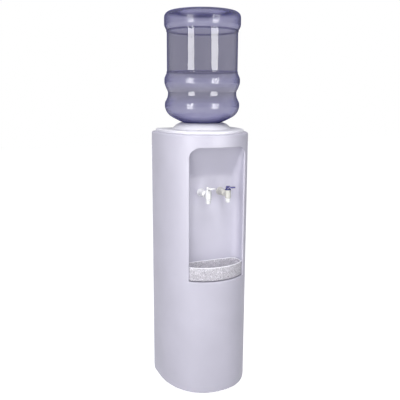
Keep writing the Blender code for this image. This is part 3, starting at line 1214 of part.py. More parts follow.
def make_drain():
    """Threaded fitting in the rear panel, its cap, and the hose from the tank."""
    place = {"location": (0, PANEL_OUTER_Y, DRAIN_Z), "rotation": BACKWARD}
    thread, flange, bore, spigot = DRAIN_THREAD_RADIUS, DRAIN_FLANGE_RADIUS, 0.003, 0.0055
    shoulder, inner_end = 0.0030, 0.0150
    turned("drain_fitting", [
        (bore, DRAIN_LENGTH), (thread, DRAIN_LENGTH), (thread, shoulder), (flange, shoulder),
        (flange, GAP), (thread + HOLE_ROOM, GAP), (thread + HOLE_ROOM, -0.0060),
        (spigot, -0.0070), (spigot, -inner_end), (bore, -inner_end)],
        TAP_PLASTIC, steps=12, closed=True, **place)
    start = shoulder + GAP
    top = start + DRAIN_CAP_LENGTH
    inner = thread + GAP + 0.0001
    ceiling = DRAIN_LENGTH + RUNNING_GAP
    turned("drain_cap", [
        (0, top), (DRAIN_CAP_RADIUS - 0.0010, top), (DRAIN_CAP_RADIUS, top - 0.0010),
        (DRAIN_CAP_RADIUS, start), (inner, start), (inner, ceiling), (0, ceiling)],
        TAP_PLASTIC, steps=16, **place)
    z = DRAIN_Z
    hose_end = PANEL_OUTER_Y - inner_end - GAP
    port_y = AXIS_Y + DRAIN_PORT_Y
    tube("drain_hose", bend([
        (0, port_y, TANK_BOTTOM - GAP - 0.0008), (0, port_y, TANK_BOTTOM - 0.010),
        (0, port_y + 0.008, z + 0.003), (0, port_y + 0.025, z), (0, hose_end - 0.010, z),
        (0, hose_end, z)], 3), FEED_TUBE_RADIUS, SILICONE)


# ---------------------------------------------------------------- build
make_shell()
make_plinth()
make_base_pan()
make_feet()
make_rear_panel()
make_top_cover()
make_liner()
make_tray()
make_grille()
make_collar()
make_bottle()
for tap_side, tap_x in tap_sides():
    make_tap_body(tap_side, tap_x)
    make_spout(tap_side, tap_x)
    make_bonnet(tap_side, tap_x)
    make_plunger(tap_side, tap_x)
    make_lever(tap_side, tap_x, NAVY_PLASTIC if tap_side == "right" else TAP_PLASTIC)
    make_tap_fixings(tap_side, tap_x)
    make_feed_hose(tap_side, tap_x)
make_tank()
make_gasket()
make_baffle()
make_insulation()
make_coil()
make_shelf()
make_compressor()
make_grommets()
make_relay_cover()
make_condenser_tube()
make_drier()
make_condenser_wires()
make_brackets()
make_discharge_line()
make_suction_line()
make_capillary()
make_thermostat()
make_knob()
make_power_inlet()
make_rocker()
make_drain()
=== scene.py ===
"""Looks of the bottled water cooler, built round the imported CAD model.

Metres, +Z up, the front faces -Y. Every new piece is built in place, so object coordinates are
metres.
"""
import json
import math

import bmesh
import bpy
from mathutils import Matrix, Vector, geometry


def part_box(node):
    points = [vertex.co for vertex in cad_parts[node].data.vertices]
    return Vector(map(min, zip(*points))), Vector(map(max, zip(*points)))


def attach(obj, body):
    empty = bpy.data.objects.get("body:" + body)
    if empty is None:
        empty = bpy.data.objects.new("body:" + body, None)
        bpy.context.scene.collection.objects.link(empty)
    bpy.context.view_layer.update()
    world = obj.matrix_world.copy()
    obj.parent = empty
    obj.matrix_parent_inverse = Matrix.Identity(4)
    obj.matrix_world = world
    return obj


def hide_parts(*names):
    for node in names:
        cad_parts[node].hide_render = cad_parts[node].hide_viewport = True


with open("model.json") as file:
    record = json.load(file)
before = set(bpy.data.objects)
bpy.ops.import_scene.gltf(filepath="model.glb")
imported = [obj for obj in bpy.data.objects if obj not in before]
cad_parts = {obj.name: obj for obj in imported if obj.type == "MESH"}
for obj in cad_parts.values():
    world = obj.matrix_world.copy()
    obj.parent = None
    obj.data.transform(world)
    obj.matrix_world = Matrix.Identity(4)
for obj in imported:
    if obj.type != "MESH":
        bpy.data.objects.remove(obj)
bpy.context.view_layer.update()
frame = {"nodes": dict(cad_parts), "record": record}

# ---- sizes read from the frame
SHELL_LOW, SHELL_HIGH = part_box("cabinet_shell")
PLINTH_LOW, PLINTH_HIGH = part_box("base_plinth")
COVER_LOW, COVER_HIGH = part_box("top_cover")
COLLAR_LOW, COLLAR_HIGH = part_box("bottle_collar")
BOTTLE_LOW, BOTTLE_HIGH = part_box("water_bottle")
LINER_LOW, LINER_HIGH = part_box("alcove_liner")
TRAY_LOW, TRAY_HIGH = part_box("drip_tray")
GRILLE_LOW, GRILLE_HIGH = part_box("drip_grille")

HALF_WIDTH = SHELL_HIGH.x
FRONT_Y = SHELL_LOW.y
REAR_Y = SHELL_HIGH.y
AXIS_Y = (COLLAR_LOW.y + COLLAR_HIGH.y) / 2

# ---- sizes of the looks
FRONT_CURVE_DEPTH = 0.210
FRONT_CURVE_POWER = 2.235
REAR_CORNER_RADIUS = 0.036
REAR_OPENING = 0.118
RIM_RADIUS = 0.006
RIM_FLANGE = 0.021
LINER_WALL = 0.0022
LINER_FRONT_INSET = 0.0055
ALCOVE_HALF = LINER_HIGH.x - LINER_WALL
ALCOVE_FLOOR = LINER_LOW.z + LINER_WALL
ALCOVE_TOP = LINER_HIGH.z - LINER_WALL
ALCOVE_BACK_Y = LINER_HIGH.y - LINER_WALL
ALCOVE_BREAK = ALCOVE_TOP - 0.107
SOFFIT_REACH = 0.047
ALCOVE_CORNER_RADIUS = 0.028
WINDOW_CORNER_RADIUS = 0.036
WINDOW_SILL_RADIUS = 0.003
LIP_RADIUS = 0.0023
PLINTH_INSIDE = 0.011
PLINTH_EDGE = 0.0012
COVER_INSET = HALF_WIDTH - COVER_HIGH.x
COVER_EDGE = 0.004
TRAY_WALL = 0.0025
TRAY_LEDGE = 0.0035
TRAY_FRONT_INSET = 0.005
TRAY_CORNER_RADIUS = 0.030
TRAY_FRONT_CORNER = 0.0035
TRAY_LEAST_CORNER = 0.0008
WIDEST_Y = FRONT_Y + FRONT_CURVE_DEPTH
SHELL_SKIN = 0.0012
SOFFIT_BLEND = 0.010
COVER_HOLE_RADIUS = 0.048
COVER_WALL = 0.003
COLLAR_SKIRT_WIDTH = 0.033
COLLAR_SLEEVE_RADIUS = 0.0325
COLLAR_WALL = 0.0018
BOTTLE_NECK_LENGTH = 0.062
BOTTLE_NECK_RADIUS = 0.0275
BOTTLE_WALL = 0.0016
GAP = 0.0003

# Edges that bend by more than this many degrees stay crisp.
CREASE = 32
SKIN_CREASE = 40


# ---- materials
class Surface:
    """A Principled material whose colour, roughness and bump come from procedural layers."""

    def __init__(self, name, roughness, metallic=0.0):
        self.material = bpy.data.materials.new(name)
        self.material.use_nodes = True
        self.tree = self.material.node_tree
        self.shader = self.tree.nodes["Principled BSDF"]
        self.shader.inputs["Roughness"].default_value = roughness
        self.shader.inputs["Metallic"].default_value = metallic
        self.place = self.tree.nodes.new("ShaderNodeTexCoord").outputs["Object"]
        self.colour = None
        self.height = None

    def upward(self):
        """How high the point is, in metres."""
        return self.node("ShaderNodeSeparateXYZ", {"Vector": self.place}).outputs["Z"]

    def node(self, kind, values=(), **settings):
        made = self.tree.nodes.new(kind)
        for key, value in settings.items():
            setattr(made, key, value)
        for key, value in dict(values).items():
            if isinstance(value, bpy.types.NodeSocket):
                self.tree.links.new(value, made.inputs[key])
            else:
                made.inputs[key].default_value = value
        return made

    def noise(self, size, detail=2.0, stretch=(1, 1, 1)):
        """Noise whose features are about size metres across, in the range 0 to 1."""
        spread = self.node("ShaderNodeMapping", {"Vector": self.place, "Scale": stretch})
        return self.node("ShaderNodeTexNoise", {"Vector": spread.outputs[0], "Scale": 1 / size,
                                                "Detail": detail}).outputs["Fac"]

    def between(self, value, low, high, to_low=0.0, to_high=1.0):
        return self.node("ShaderNodeMapRange", {"Value": value, "From Min": low, "From Max": high,
                                                "To Min": to_low, "To Max": to_high}).outputs[0]

    def mix(self, share, first, second):
        first, second = (colour if isinstance(colour, bpy.types.NodeSocket) else (*colour, 1.0)
                         for colour in (first, second))
        return self.node("ShaderNodeMix", {0: share, 6: first, 7: second},
                         data_type="RGBA").outputs[2]

    def paint(self, share, colour):
        """Lay another colour over what is there, where share is high."""
        self.colour = self.mix(share, self.colour, colour)
        return self

    def base(self, first, second, size, stretch=(1, 1, 1)):
        share = self.between(self.noise(size, 3.0, stretch), 0.3, 0.7)
        self.colour = self.mix(share, first, second)
        return self

    def edges(self, colour, amount=0.5):
        """Wear where the surface turns sharply outwards."""
        point = self.node("ShaderNodeNewGeometry").outputs["Pointiness"]
        worn = self.between(point, 0.52, 0.60, 0.0, amount)
        return self.paint(worn, colour)

    def rough(self, value):
        self.tree.links.new(value, self.shader.inputs["Roughness"])
        return self

    def polish(self, size, low, high):
        """Roughness that drifts between two values."""
        return self.rough(self.between(self.noise(size, 2.0), 0.3, 0.7, low, high))

    def bump(self, size, height, detail=2.0, stretch=(1, 1, 1)):
        made = self.node("ShaderNodeBump", {"Height": self.noise(size, detail, stretch),
                                            "Distance": height, "Strength": 1.0})
        if self.height is not None:
            self.tree.links.new(self.height, made.inputs["Normal"])
        self.height = made.outputs[0]
        return self

    def done(self):
        if self.colour is not None:
            self.tree.links.new(self.colour, self.shader.inputs["Base Color"])
        if self.height is not None:
            self.tree.links.new(self.height, self.shader.inputs["Normal"])
        return self.material


def plastic(name, colour, roughness, tint=0.04, texture=0.00004, specular=0.5):
    """Moulded plastic: slow colour drift, fine spark texture, slightly paler worn edges."""
    darker = tuple(c * (1 - tint) for c in colour)
    lighter = tuple(min(1.0, c * (1 + tint)) for c in colour)
    worn = tuple(min(1.0, c + 0.06) for c in colour)
    made = Surface(name, roughness)
    made.shader.inputs["Specular IOR Level"].default_value = specular
    made.base(darker, lighter, 0.15).edges(worn, 0.4)
    made.polish(0.03, roughness - 0.05, roughness + 0.05)
    return made.bump(0.0012, texture).bump(0.02, texture * 2).done()


def granite(name, rim_height):
    """Speckled moulded plastic: pale ground with grey, white and dark flecks, and a painted
    highlight along the top of the rim.
    """
    made = Surface(name, 0.5)
    made.base((0.41, 0.39, 0.43), (0.50, 0.48, 0.53), 0.02)
    made.paint(made.between(made.noise(0.0060, 2.0), 0.52, 0.60, 0.0, 0.65), (0.34, 0.33, 0.37))
    made.paint(made.between(made.noise(0.0026, 3.0), 0.57, 0.63), (0.80, 0.78, 0.84))
    made.paint(made.between(made.noise(0.0030, 3.0), 0.59, 0.64), (0.17, 0.16, 0.20))
    # Painted highlight: near-white laid along the top of the rim, where its rounded edge catches
    # the light.
    rim = made.between(made.upward(), rim_height - 0.0022, rim_height - 0.0012)
    made.paint(rim, (0.90, 0.90, 0.95))
    made.polish(0.01, 0.42, 0.60)
    return made.bump(0.0012, 0.00005).done()


def metal(name, colour, roughness, brushed=(1, 1, 1), spangle=0.0):
    made = Surface(name, roughness, 1.0)
    made.base(tuple(c * 0.86 for c in colour), colour, 0.02, brushed)
    if spangle:
        cells = made.node("ShaderNodeTexVoronoi", {"Vector": made.place, "Scale": 1 / spangle})
        shade = made.between(cells.outputs["Distance"], 0.0, 0.9, 0.0, 0.5)
        made.paint(shade, tuple(c * 0.70 for c in colour))
    made.edges(tuple(min(1.0, c * 1.25) for c in colour), 0.5)
    made.polish(0.006, roughness - 0.10, roughness + 0.10)
    return made.bump(0.0015, 0.00003, stretch=brushed).done()


def enamel(name, colour, roughness):
    """Thick paint on steel, orange-peeled, with brighter edges."""
    made = Surface(name, roughness)
    made.base(colour, tuple(c * 1.5 + 0.004 for c in colour), 0.04)
    made.edges((0.16, 0.16, 0.16), 0.5)
    made.polish(0.02, roughness - 0.08, roughness + 0.08)
    return made.bump(0.0025, 0.00008).done()


def rubber(name, colour, roughness=0.75):
    made = Surface(name, roughness)
    made.base(colour, tuple(c * 1.25 + 0.01 for c in colour), 0.01)
    made.edges(tuple(c * 1.6 + 0.02 for c in colour), 0.6)
    made.polish(0.006, roughness - 0.10, roughness + 0.10)
    return made.bump(0.0008, 0.00006).done()


def foam(name):
    """Expanded polystyrene: packed beads a few millimetres across."""
    made = Surface(name, 0.9)
    made.base((0.82, 0.81, 0.77), (0.90, 0.89, 0.86), 0.05)
    beads = made.node("ShaderNodeTexVoronoi", {"Vector": made.place, "Scale": 1 / 0.004})
    made.paint(made.between(beads.outputs["Distance"], 0.45, 0.8, 0.0, 0.6), (0.66, 0.65, 0.61))
    dimple = made.node("ShaderNodeBump", {"Height": beads.outputs["Distance"], "Distance": 0.0006})
    dimple.invert = True
    made.height = dimple.outputs[0]
    return made.done()


def clear_bottle(name):
    """Tinted clear polycarbonate: grey-violet walls, with painted shade: a bluer tint in the ribs
    and the shoulder and dark navy towards the silhouettes.
    """
    made = Surface(name, 0.05)
    shader = made.shader
    shader.inputs["Transmission Weight"].default_value = 1.0
    shader.inputs["IOR"].default_value = 1.38
    made.base((0.61, 0.60, 0.69), (0.67, 0.655, 0.745), 0.05, (1, 1, 0.25))
    height = made.upward()
    top, neck = BOTTLE_HIGH.z, BOTTLE_LOW.z + BOTTLE_NECK_LENGTH
    # Painted shade: bluer bands in the ribs and the shoulder stand in for the way their curved
    # walls bend and deepen the light; the same bands also set the roughness.
    shade_and_roughness_bands = None
    for low, high, soft in ((top - 0.066, top + 0.02, 0.012), (neck + 0.155, neck + 0.195, 0.016),
                            (neck - 0.08, neck + 0.112, 0.016)):
        rise = made.between(height, low - soft, low + soft)
        fall = made.between(height, high + soft, high - soft)
        band = made.node("ShaderNodeMath", {0: rise, 1: fall}, operation="MULTIPLY").outputs[0]
        if shade_and_roughness_bands is not None:
            band = made.node("ShaderNodeMath", {0: shade_and_roughness_bands, 1: band}, operation="MAXIMUM").outputs[0]
        shade_and_roughness_bands = band
    made.paint(shade_and_roughness_bands, (0.72, 0.71, 0.86))
    # Painted shade: dark navy laid on towards the silhouettes, standing in for the longer light
    # path through the walls at grazing angles.
    facing = made.node("ShaderNodeLayerWeight", {"Blend": 0.5}).outputs["Facing"]
    made.paint(made.between(facing, 0.45, 1.0, 0.0, 0.8), (0.14, 0.13, 0.33))
    # Painted shade: deeper navy where the rib bands turn towards the silhouettes.
    painted_rib_edge_shade = made.node("ShaderNodeMath", {0: shade_and_roughness_bands, 1: made.between(facing, 0.35, 0.85, 0.0, 0.9)},
                     operation="MULTIPLY")
    made.paint(painted_rib_edge_shade.outputs[0], (0.11, 0.10, 0.50))
    made.rough(made.between(shade_and_roughness_bands, 0.0, 1.0, 0.02, 0.16))
    made.bump(0.05, 0.0006, 1.0, (1, 1, 0.35))
    material = made.done()

    output = made.tree.nodes["Material Output"]
    # Painted shade: a dark navy diffuse sheet mixed in at the silhouettes over the clear shader.
    rim = made.node("ShaderNodeBsdfDiffuse", {"Color": (0.045, 0.040, 0.17, 1.0)})
    edge = made.between(facing, 0.60, 0.88, 0.0, 0.9)
    blend = made.node("ShaderNodeMixShader", {0: edge, 1: shader.outputs[0], 2: rim.outputs[0]})
    made.tree.links.new(blend.outputs[0], output.inputs["Surface"])
    return material


CABINET = plastic("cabinet_satin_abs", (0.48, 0.465, 0.545), 0.52, specular=0.35)
COVER = plastic("cover_satin_abs", (0.70, 0.69, 0.75), 0.34)
LINER = plastic("liner_satin_abs", (0.505, 0.49, 0.58), 0.50, specular=0.35)
TRAY = granite("tray_granite_abs", TRAY_HIGH.z)
TAP_WHITE = plastic("tap_gloss_white", (0.74, 0.74, 0.75), 0.18, texture=0.00002)
TAP_CREAM = plastic("tap_gloss_cream", (0.52, 0.51, 0.47), 0.24, texture=0.00002)
NAVY = plastic("tap_gloss_navy", (0.035, 0.030, 0.16), 0.25, texture=0.00002)
BOTTLE = clear_bottle("bottle_polycarbonate")
CAP = plastic("cap_polyethylene", (0.50, 0.60, 0.80), 0.38)
STAINLESS = metal("stainless_brushed", (0.66, 0.66, 0.67), 0.28, (1, 1, 12))
COPPER = metal("copper_drawn", (0.78, 0.42, 0.27), 0.32, (1, 1, 1))
BLACK_STEEL = enamel("black_enamel", (0.018, 0.018, 0.019), 0.38)
GALVANISED = metal("galvanised_spangle", (0.44, 0.455, 0.47), 0.42, spangle=0.012)
FOAM = foam("foam_beads")
SILICONE = rubber("silicone_milky", (0.62, 0.62, 0.60), 0.45)
RUBBER = rubber("rubber_black", (0.020, 0.020, 0.021))
BLACK_PLASTIC = plastic("black_textured_abs", (0.022, 0.022, 0.024), 0.45, tint=0.2, texture=0.0001)

FINISHES = {
    "cabinet_plastic": CABINET, "cover_plastic": COVER, "liner_plastic": LINER,
    "tray_plastic": TRAY, "tap_plastic": TAP_WHITE, "navy_plastic": NAVY,
    "bottle_plastic": BOTTLE, "cap_plastic": CAP, "stainless": STAINLESS, "copper": COPPER,
    "black_steel": BLACK_STEEL, "galvanised_steel": GALVANISED, "foam": FOAM,
    "silicone": SILICONE, "rubber": RUBBER, "black_plastic": BLACK_PLASTIC,
}
SLOTS = {part["node"]: part["material_slot"] for part in frame["record"]["subparts"]}
for node_name, cad_node in frame["nodes"].items():
    for cad_slot in cad_node.material_slots:
        cad_slot.material = FINISHES[SLOTS[node_name]]


# ---- modelling helpers
def placed(name, data):
    """A new object in the scene."""
    obj = bpy.data.objects.new(name, data)
    bpy.context.scene.collection.objects.link(obj)
    return obj


def settle(obj, angle=CREASE):
    """Smooth the faces but keep true edges crisp."""
    obj.data.shade_smooth()
    obj.data.set_sharp_from_angle(angle=math.radians(angle))


def from_shape(name, shape, mat, smooth=CREASE):
    """An object made of a bmesh, which is freed."""
    mesh = bpy.data.meshes.new(name)
    shape.to_mesh(mesh)
    shape.free()
    mesh.materials.append(mat)
    obj = placed(name, mesh)
    settle(obj, smooth)
    return obj


def piece(name, verts, faces, mat, node=None, body="root", smooth=CREASE):
    """A mesh in place, riding on its body and standing for a CAD node."""
    shape = bmesh.new()
    points = [shape.verts.new(v) for v in verts]
    for face in faces:
        if len(set(face)) > 2:
            shape.faces.new([points[i] for i in face])
    bmesh.ops.remove_doubles(shape, verts=shape.verts, dist=0.000005)
    bmesh.ops.recalc_face_normals(shape, faces=shape.faces)
    return claim(from_shape(name, shape, mat, smooth), node, body)


def claim(obj, node=None, body="root"):
    if node is not None:
        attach(obj, body)
        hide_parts(node)
    return obj


def applied(obj):
    """Apply the object's modifiers to its mesh."""
    graph = bpy.context.evaluated_depsgraph_get()
    mesh = bpy.data.meshes.new_from_object(obj.evaluated_get(graph))
    obj.modifiers.clear()
    obj.data = mesh


def thickened(obj, seen, wall):
    """Turn the faces so that the first looks the seen way, and give them a wall behind."""
    if obj.data.polygons[0].normal.dot(seen) < 0:
        obj.data.flip_normals()
    mod = obj.modifiers.new("wall", "SOLIDIFY")
    mod.thickness = wall
    mod.offset = -1
    applied(obj)
    settle(obj, SKIN_CREASE)


def united(obj, tools, operation="UNION"):
    """Join the tools to the object, or cut them from it, and remove them."""
    for tool in tools:
        mod = obj.modifiers.new("boolean", "BOOLEAN")
        mod.operation = operation
        mod.solver = "EXACT"
        mod.object = tool
    applied(obj)
    for tool in tools:
        bpy.data.objects.remove(tool)
    settle(obj)
    return obj


def joined(obj, *others):
    """Put the others' faces into the object's mesh, as separate closed skins."""
    shape = bmesh.new()
    for source in (obj,) + others:
        shape.from_mesh(source.data)
    shape.to_mesh(obj.data)
    shape.free()
    for other in others:
        bpy.data.objects.remove(other)
    settle(obj)
    return obj


def bend(start, tip, end, t):
    """A point on the curve that leaves start for the tip and turns to the end."""
    return tuple(start.lerp(tip, t).lerp(tip.lerp(end, t), t))


def fillet(points, radius, steps=4, closed=True):
    """Round each corner of a flat outline; radius is one value or one for each point."""
    count = len(points)
    radii = radius if isinstance(radius, (list, tuple)) else [radius] * count
    rounded = []
    for i, point in enumerate(points):
        here = Vector(point)
        if not closed and i in (0, count - 1) or radii[i] <= 0:
            rounded.append(tuple(here))
            continue
        back, ahead = Vector(points[i - 1]) - here, Vector(points[(i + 1) % count]) - here
        turn = back.angle(ahead) if back.length and ahead.length else math.pi
        if turn > math.radians(176):
            rounded.append(tuple(here))
            continue
        reach = min(radii[i] / math.tan(turn / 2), 0.48 * back.length, 0.48 * ahead.length)
        start, end = here + back.normalized() * reach, here + ahead.normalized() * reach
        for k in range(steps + 1):
            rounded.append(bend(start, here, end, k / steps))
    return rounded


def curved(points, steps=6):
    """A smooth run through the points of a profile."""
    run = []
    ends = [points[0]] + list(points) + [points[-1]]
    for a, b, c, d in zip(ends, ends[1:], ends[2:], ends[3:]):
        for i in range(steps):
            t = i / steps
            run.append(tuple(0.5 * (2 * q + (r - p) * t + (2 * p - 5 * q + 4 * r - s) * t * t
                                    + (3 * q - p - 3 * r + s) * t ** 3)
                             for p, q, r, s in zip(a, b, c, d)))
    return run + [tuple(points[-1])]


UP = Matrix.Identity(3)
FORWARD = Matrix.Rotation(math.pi / 2, 3, "X")
BACKWARD = Matrix.Rotation(-math.pi / 2, 3, "X")
SIDEWAYS = Matrix.Rotation(math.pi / 2, 3, "Y")


def lathe(name, profile, centre, mat, node=None, body="root", turn=UP, segments=56, smooth=CREASE):
    """A closed profile of (radius, height) points turned about an axis through the centre."""
    verts, faces, rings = [], [], []
    for radius, height in profile:
        if radius < 0.000001:
            rings.append([len(verts)] * segments)
            verts.append(turn @ Vector((0, 0, height)) + Vector(centre))
            continue
        rings.append(list(range(len(verts), len(verts) + segments)))
        for i in range(segments):
            angle = math.tau * i / segments
            spot = Vector((radius * math.cos(angle), radius * math.sin(angle), height))
            verts.append(turn @ spot + Vector(centre))
    for lower, upper in zip(rings, rings[1:] + rings[:1]):
        for i in range(segments):
            j = (i + 1) % segments
            face = list(dict.fromkeys((lower[i], lower[j], upper[j], upper[i])))
            if len(face) > 2:
                faces.append(face)
    return piece(name, verts, faces, mat, node, body, smooth)


def rings_piece(name, rings, mat, node=None, body="root", loop=False):
    """A skin through closed rings of points, with its ends capped or joined in a loop."""
    verts = [point for ring in rings for point in ring]
    size = len(rings[0])
    faces = []
    for low in range(len(rings) if loop else len(rings) - 1):
        high = (low + 1) % len(rings)
        faces += ring_faces(low * size, high * size, size)
    if not loop:
        faces.append(tuple(range(size)))
        faces.append(tuple(range((len(rings) - 1) * size, len(rings) * size)))
    return piece(name, verts, faces, mat, node, body)


def block(name, low, high, radius, mat, segments=3):
    """A box with all its edges rounded."""
    shape = bmesh.new()
    bmesh.ops.create_cube(shape, size=1.0)
    size = Vector(high) - Vector(low)
    bmesh.ops.scale(shape, vec=size, verts=shape.verts)
    bmesh.ops.translate(shape, vec=(Vector(high) + Vector(low)) / 2, verts=shape.verts)
    if radius:
        bmesh.ops.bevel(shape, geom=shape.edges[:], offset=radius, segments=segments, profile=0.5,
                        affect="EDGES")
    return from_shape(name, shape, mat)


def outline_plate(name, outlines, low, high, edge, mat):
    """A flat plate with holes and rounded rims, from a filled curve."""
    curve = bpy.data.curves.new(name, "CURVE")
    curve.dimensions = "2D"
    curve.fill_mode = "BOTH"
    curve.extrude = (high - low) / 2 - edge
    curve.bevel_depth = edge
    curve.bevel_resolution = 2
    curve.offset = -edge
    for outline in outlines:
        spline = curve.splines.new("POLY")
        spline.points.add(len(outline) - 1)
        for point, (x, y) in zip(spline.points, outline):
            point.co = (x, y, 0, 1)
        spline.use_cyclic_u = True
    guide = placed(name + "_guide", curve)
    graph = bpy.context.evaluated_depsgraph_get()
    mesh = bpy.data.meshes.new_from_object(guide.evaluated_get(graph))
    bpy.data.objects.remove(guide)
    shape = bmesh.new()
    shape.from_mesh(mesh)
    bpy.data.meshes.remove(mesh)
    bmesh.ops.translate(shape, vec=(0, 0, (low + high) / 2), verts=shape.verts)
    bmesh.ops.remove_doubles(shape, verts=shape.verts, dist=0.00002)
    bmesh.ops.recalc_face_normals(shape, faces=shape.faces)
    return from_shape(name, shape, mat)


def mm(radius, height, *steps):
    """Profile points stepped off in millimetres from a radius and a height."""
    return [(radius + out / 1000, height + up / 1000, *rest) for out, up, *rest in steps]


def level(outline, z):
    return [(x, y, z) for x, y in outline]


def ring_faces(low, high, size):
    """Quads between two closed rings of points that start at low and at high."""
    return [(low + i, low + (i + 1) % size, high + (i + 1) % size, high + i)
            for i in range(size)]


def arc(centre, radius, start, end, steps):
    angles = [math.radians(start + (end - start) * i / steps) for i in range(steps + 1)]
    return [(centre[0] + radius * math.cos(a), centre[1] + radius * math.sin(a)) for a in angles]


# ---- the cabinet's plan
def front_y(x, inset=0.0):
    share = min(1.0, abs(x) / (HALF_WIDTH - inset))
    depth = FRONT_CURVE_DEPTH - inset
    return WIDEST_Y - depth * (1 - share ** FRONT_CURVE_POWER) ** (1 / FRONT_CURVE_POWER)


def bow(angle, side, depth):
    """A point of the bowed front, from side at an angle of 0 to its mirror at pi."""
    power = 2 / FRONT_CURVE_POWER
    lean = math.copysign(abs(math.cos(angle)) ** power, math.cos(angle))
    return side * lean, WIDEST_Y - depth * math.sin(angle) ** power


def plan_loop(inset, front_steps=56, corner_steps=10):
    """The closed plan moved inwards, counter-clockwise from the rear right corner."""
    side, depth = HALF_WIDTH - inset, FRONT_CURVE_DEPTH - inset
    rear, radius = REAR_Y - inset, REAR_CORNER_RADIUS - inset
    left = arc((radius - side, rear - radius), radius, 90, 180, corner_steps)
    front = [bow(math.pi * i / (2 * front_steps), -side, depth)
             for i in range(2 * front_steps + 1)]
    right = [(-x, y) for x, y in reversed(left)]
    return left + front + right


class Plan:
    """The plan as a line: u is X on the bowed front, then the length on round to the rear."""
    SPLIT = 0.128

    def __init__(self):
        start = math.acos((self.SPLIT / HALF_WIDTH) ** (FRONT_CURVE_POWER / 2))
        run = [Vector(bow(start * (1 - i / 60), HALF_WIDTH, FRONT_CURVE_DEPTH))
               for i in range(61)]
        corner = (HALF_WIDTH - REAR_CORNER_RADIUS, REAR_Y - REAR_CORNER_RADIUS)
        run += [Vector(p) for p in arc(corner, REAR_CORNER_RADIUS, 0, 90, 24)]
        run.append(Vector((REAR_OPENING, REAR_Y)))
        self.run = run
        self.lengths = [0.0]
        for a, b in zip(run, run[1:]):
            self.lengths.append(self.lengths[-1] + (b - a).length)
        self.end = self.SPLIT + self.lengths[-1]

    def on_line(self, u):
        if abs(u) <= self.SPLIT:
            return Vector((u, front_y(u)))
        along = min(abs(u) - self.SPLIT, self.lengths[-1])
        k = next((i for i in range(1, len(self.run)) if self.lengths[i] >= along - 1e-9),
                 len(self.run) - 1)
        step = self.lengths[k] - self.lengths[k - 1]
        spot = self.run[k - 1].lerp(self.run[k], (along - self.lengths[k - 1]) / step)
        return Vector((math.copysign(spot.x, u), spot.y))

    def point(self, u, inset):
        """The point at u, moved inwards by inset along the plan's normal."""
        step = 0.0008
        back = self.on_line(max(u - step, -self.end))
        ahead = self.on_line(min(u + step, self.end))
        heading = (ahead - back).normalized()
        return self.on_line(u) + Vector((-heading.y, heading.x)) * inset


PLAN = Plan()


# ---- cabinet
def window_outline(grow, steps=10):
    """The alcove's window grown outwards: round top corners, nearly square sill corners."""
    half, low, high = ALCOVE_HALF + grow, ALCOVE_FLOOR - grow, ALCOVE_TOP + grow
    top, sill = WINDOW_CORNER_RADIUS + grow, WINDOW_SILL_RADIUS + grow
    corners = [((half - top, high - top), top, 0), ((top - half, high - top), top, 90),
               ((sill - half, low + sill), sill, 180), ((half - sill, low + sill), sill, 270)]
    run = []
    for centre, radius, start in corners:
        run += arc(centre, radius, start, start + 90, steps)
    dense = []
    for a, b in zip(run, run[1:] + run[:1]):
        pieces = max(1, round(math.dist(a, b) / 0.010))
        dense += [tuple(Vector(a).lerp(Vector(b), k / pieces)) for k in range(pieces)]
    return dense


def inside_window(x, z, grow):
    half, low, high = ALCOVE_HALF + grow, ALCOVE_FLOOR - grow, ALCOVE_TOP + grow
    if abs(x) > half or z < low or z > high:
        return False
    radius = WINDOW_CORNER_RADIUS + grow
    dx, dz = abs(x) - (half - radius), z - (high - radius)
    return not (dx > 0 and dz > 0 and dx * dx + dz * dz > radius * radius)


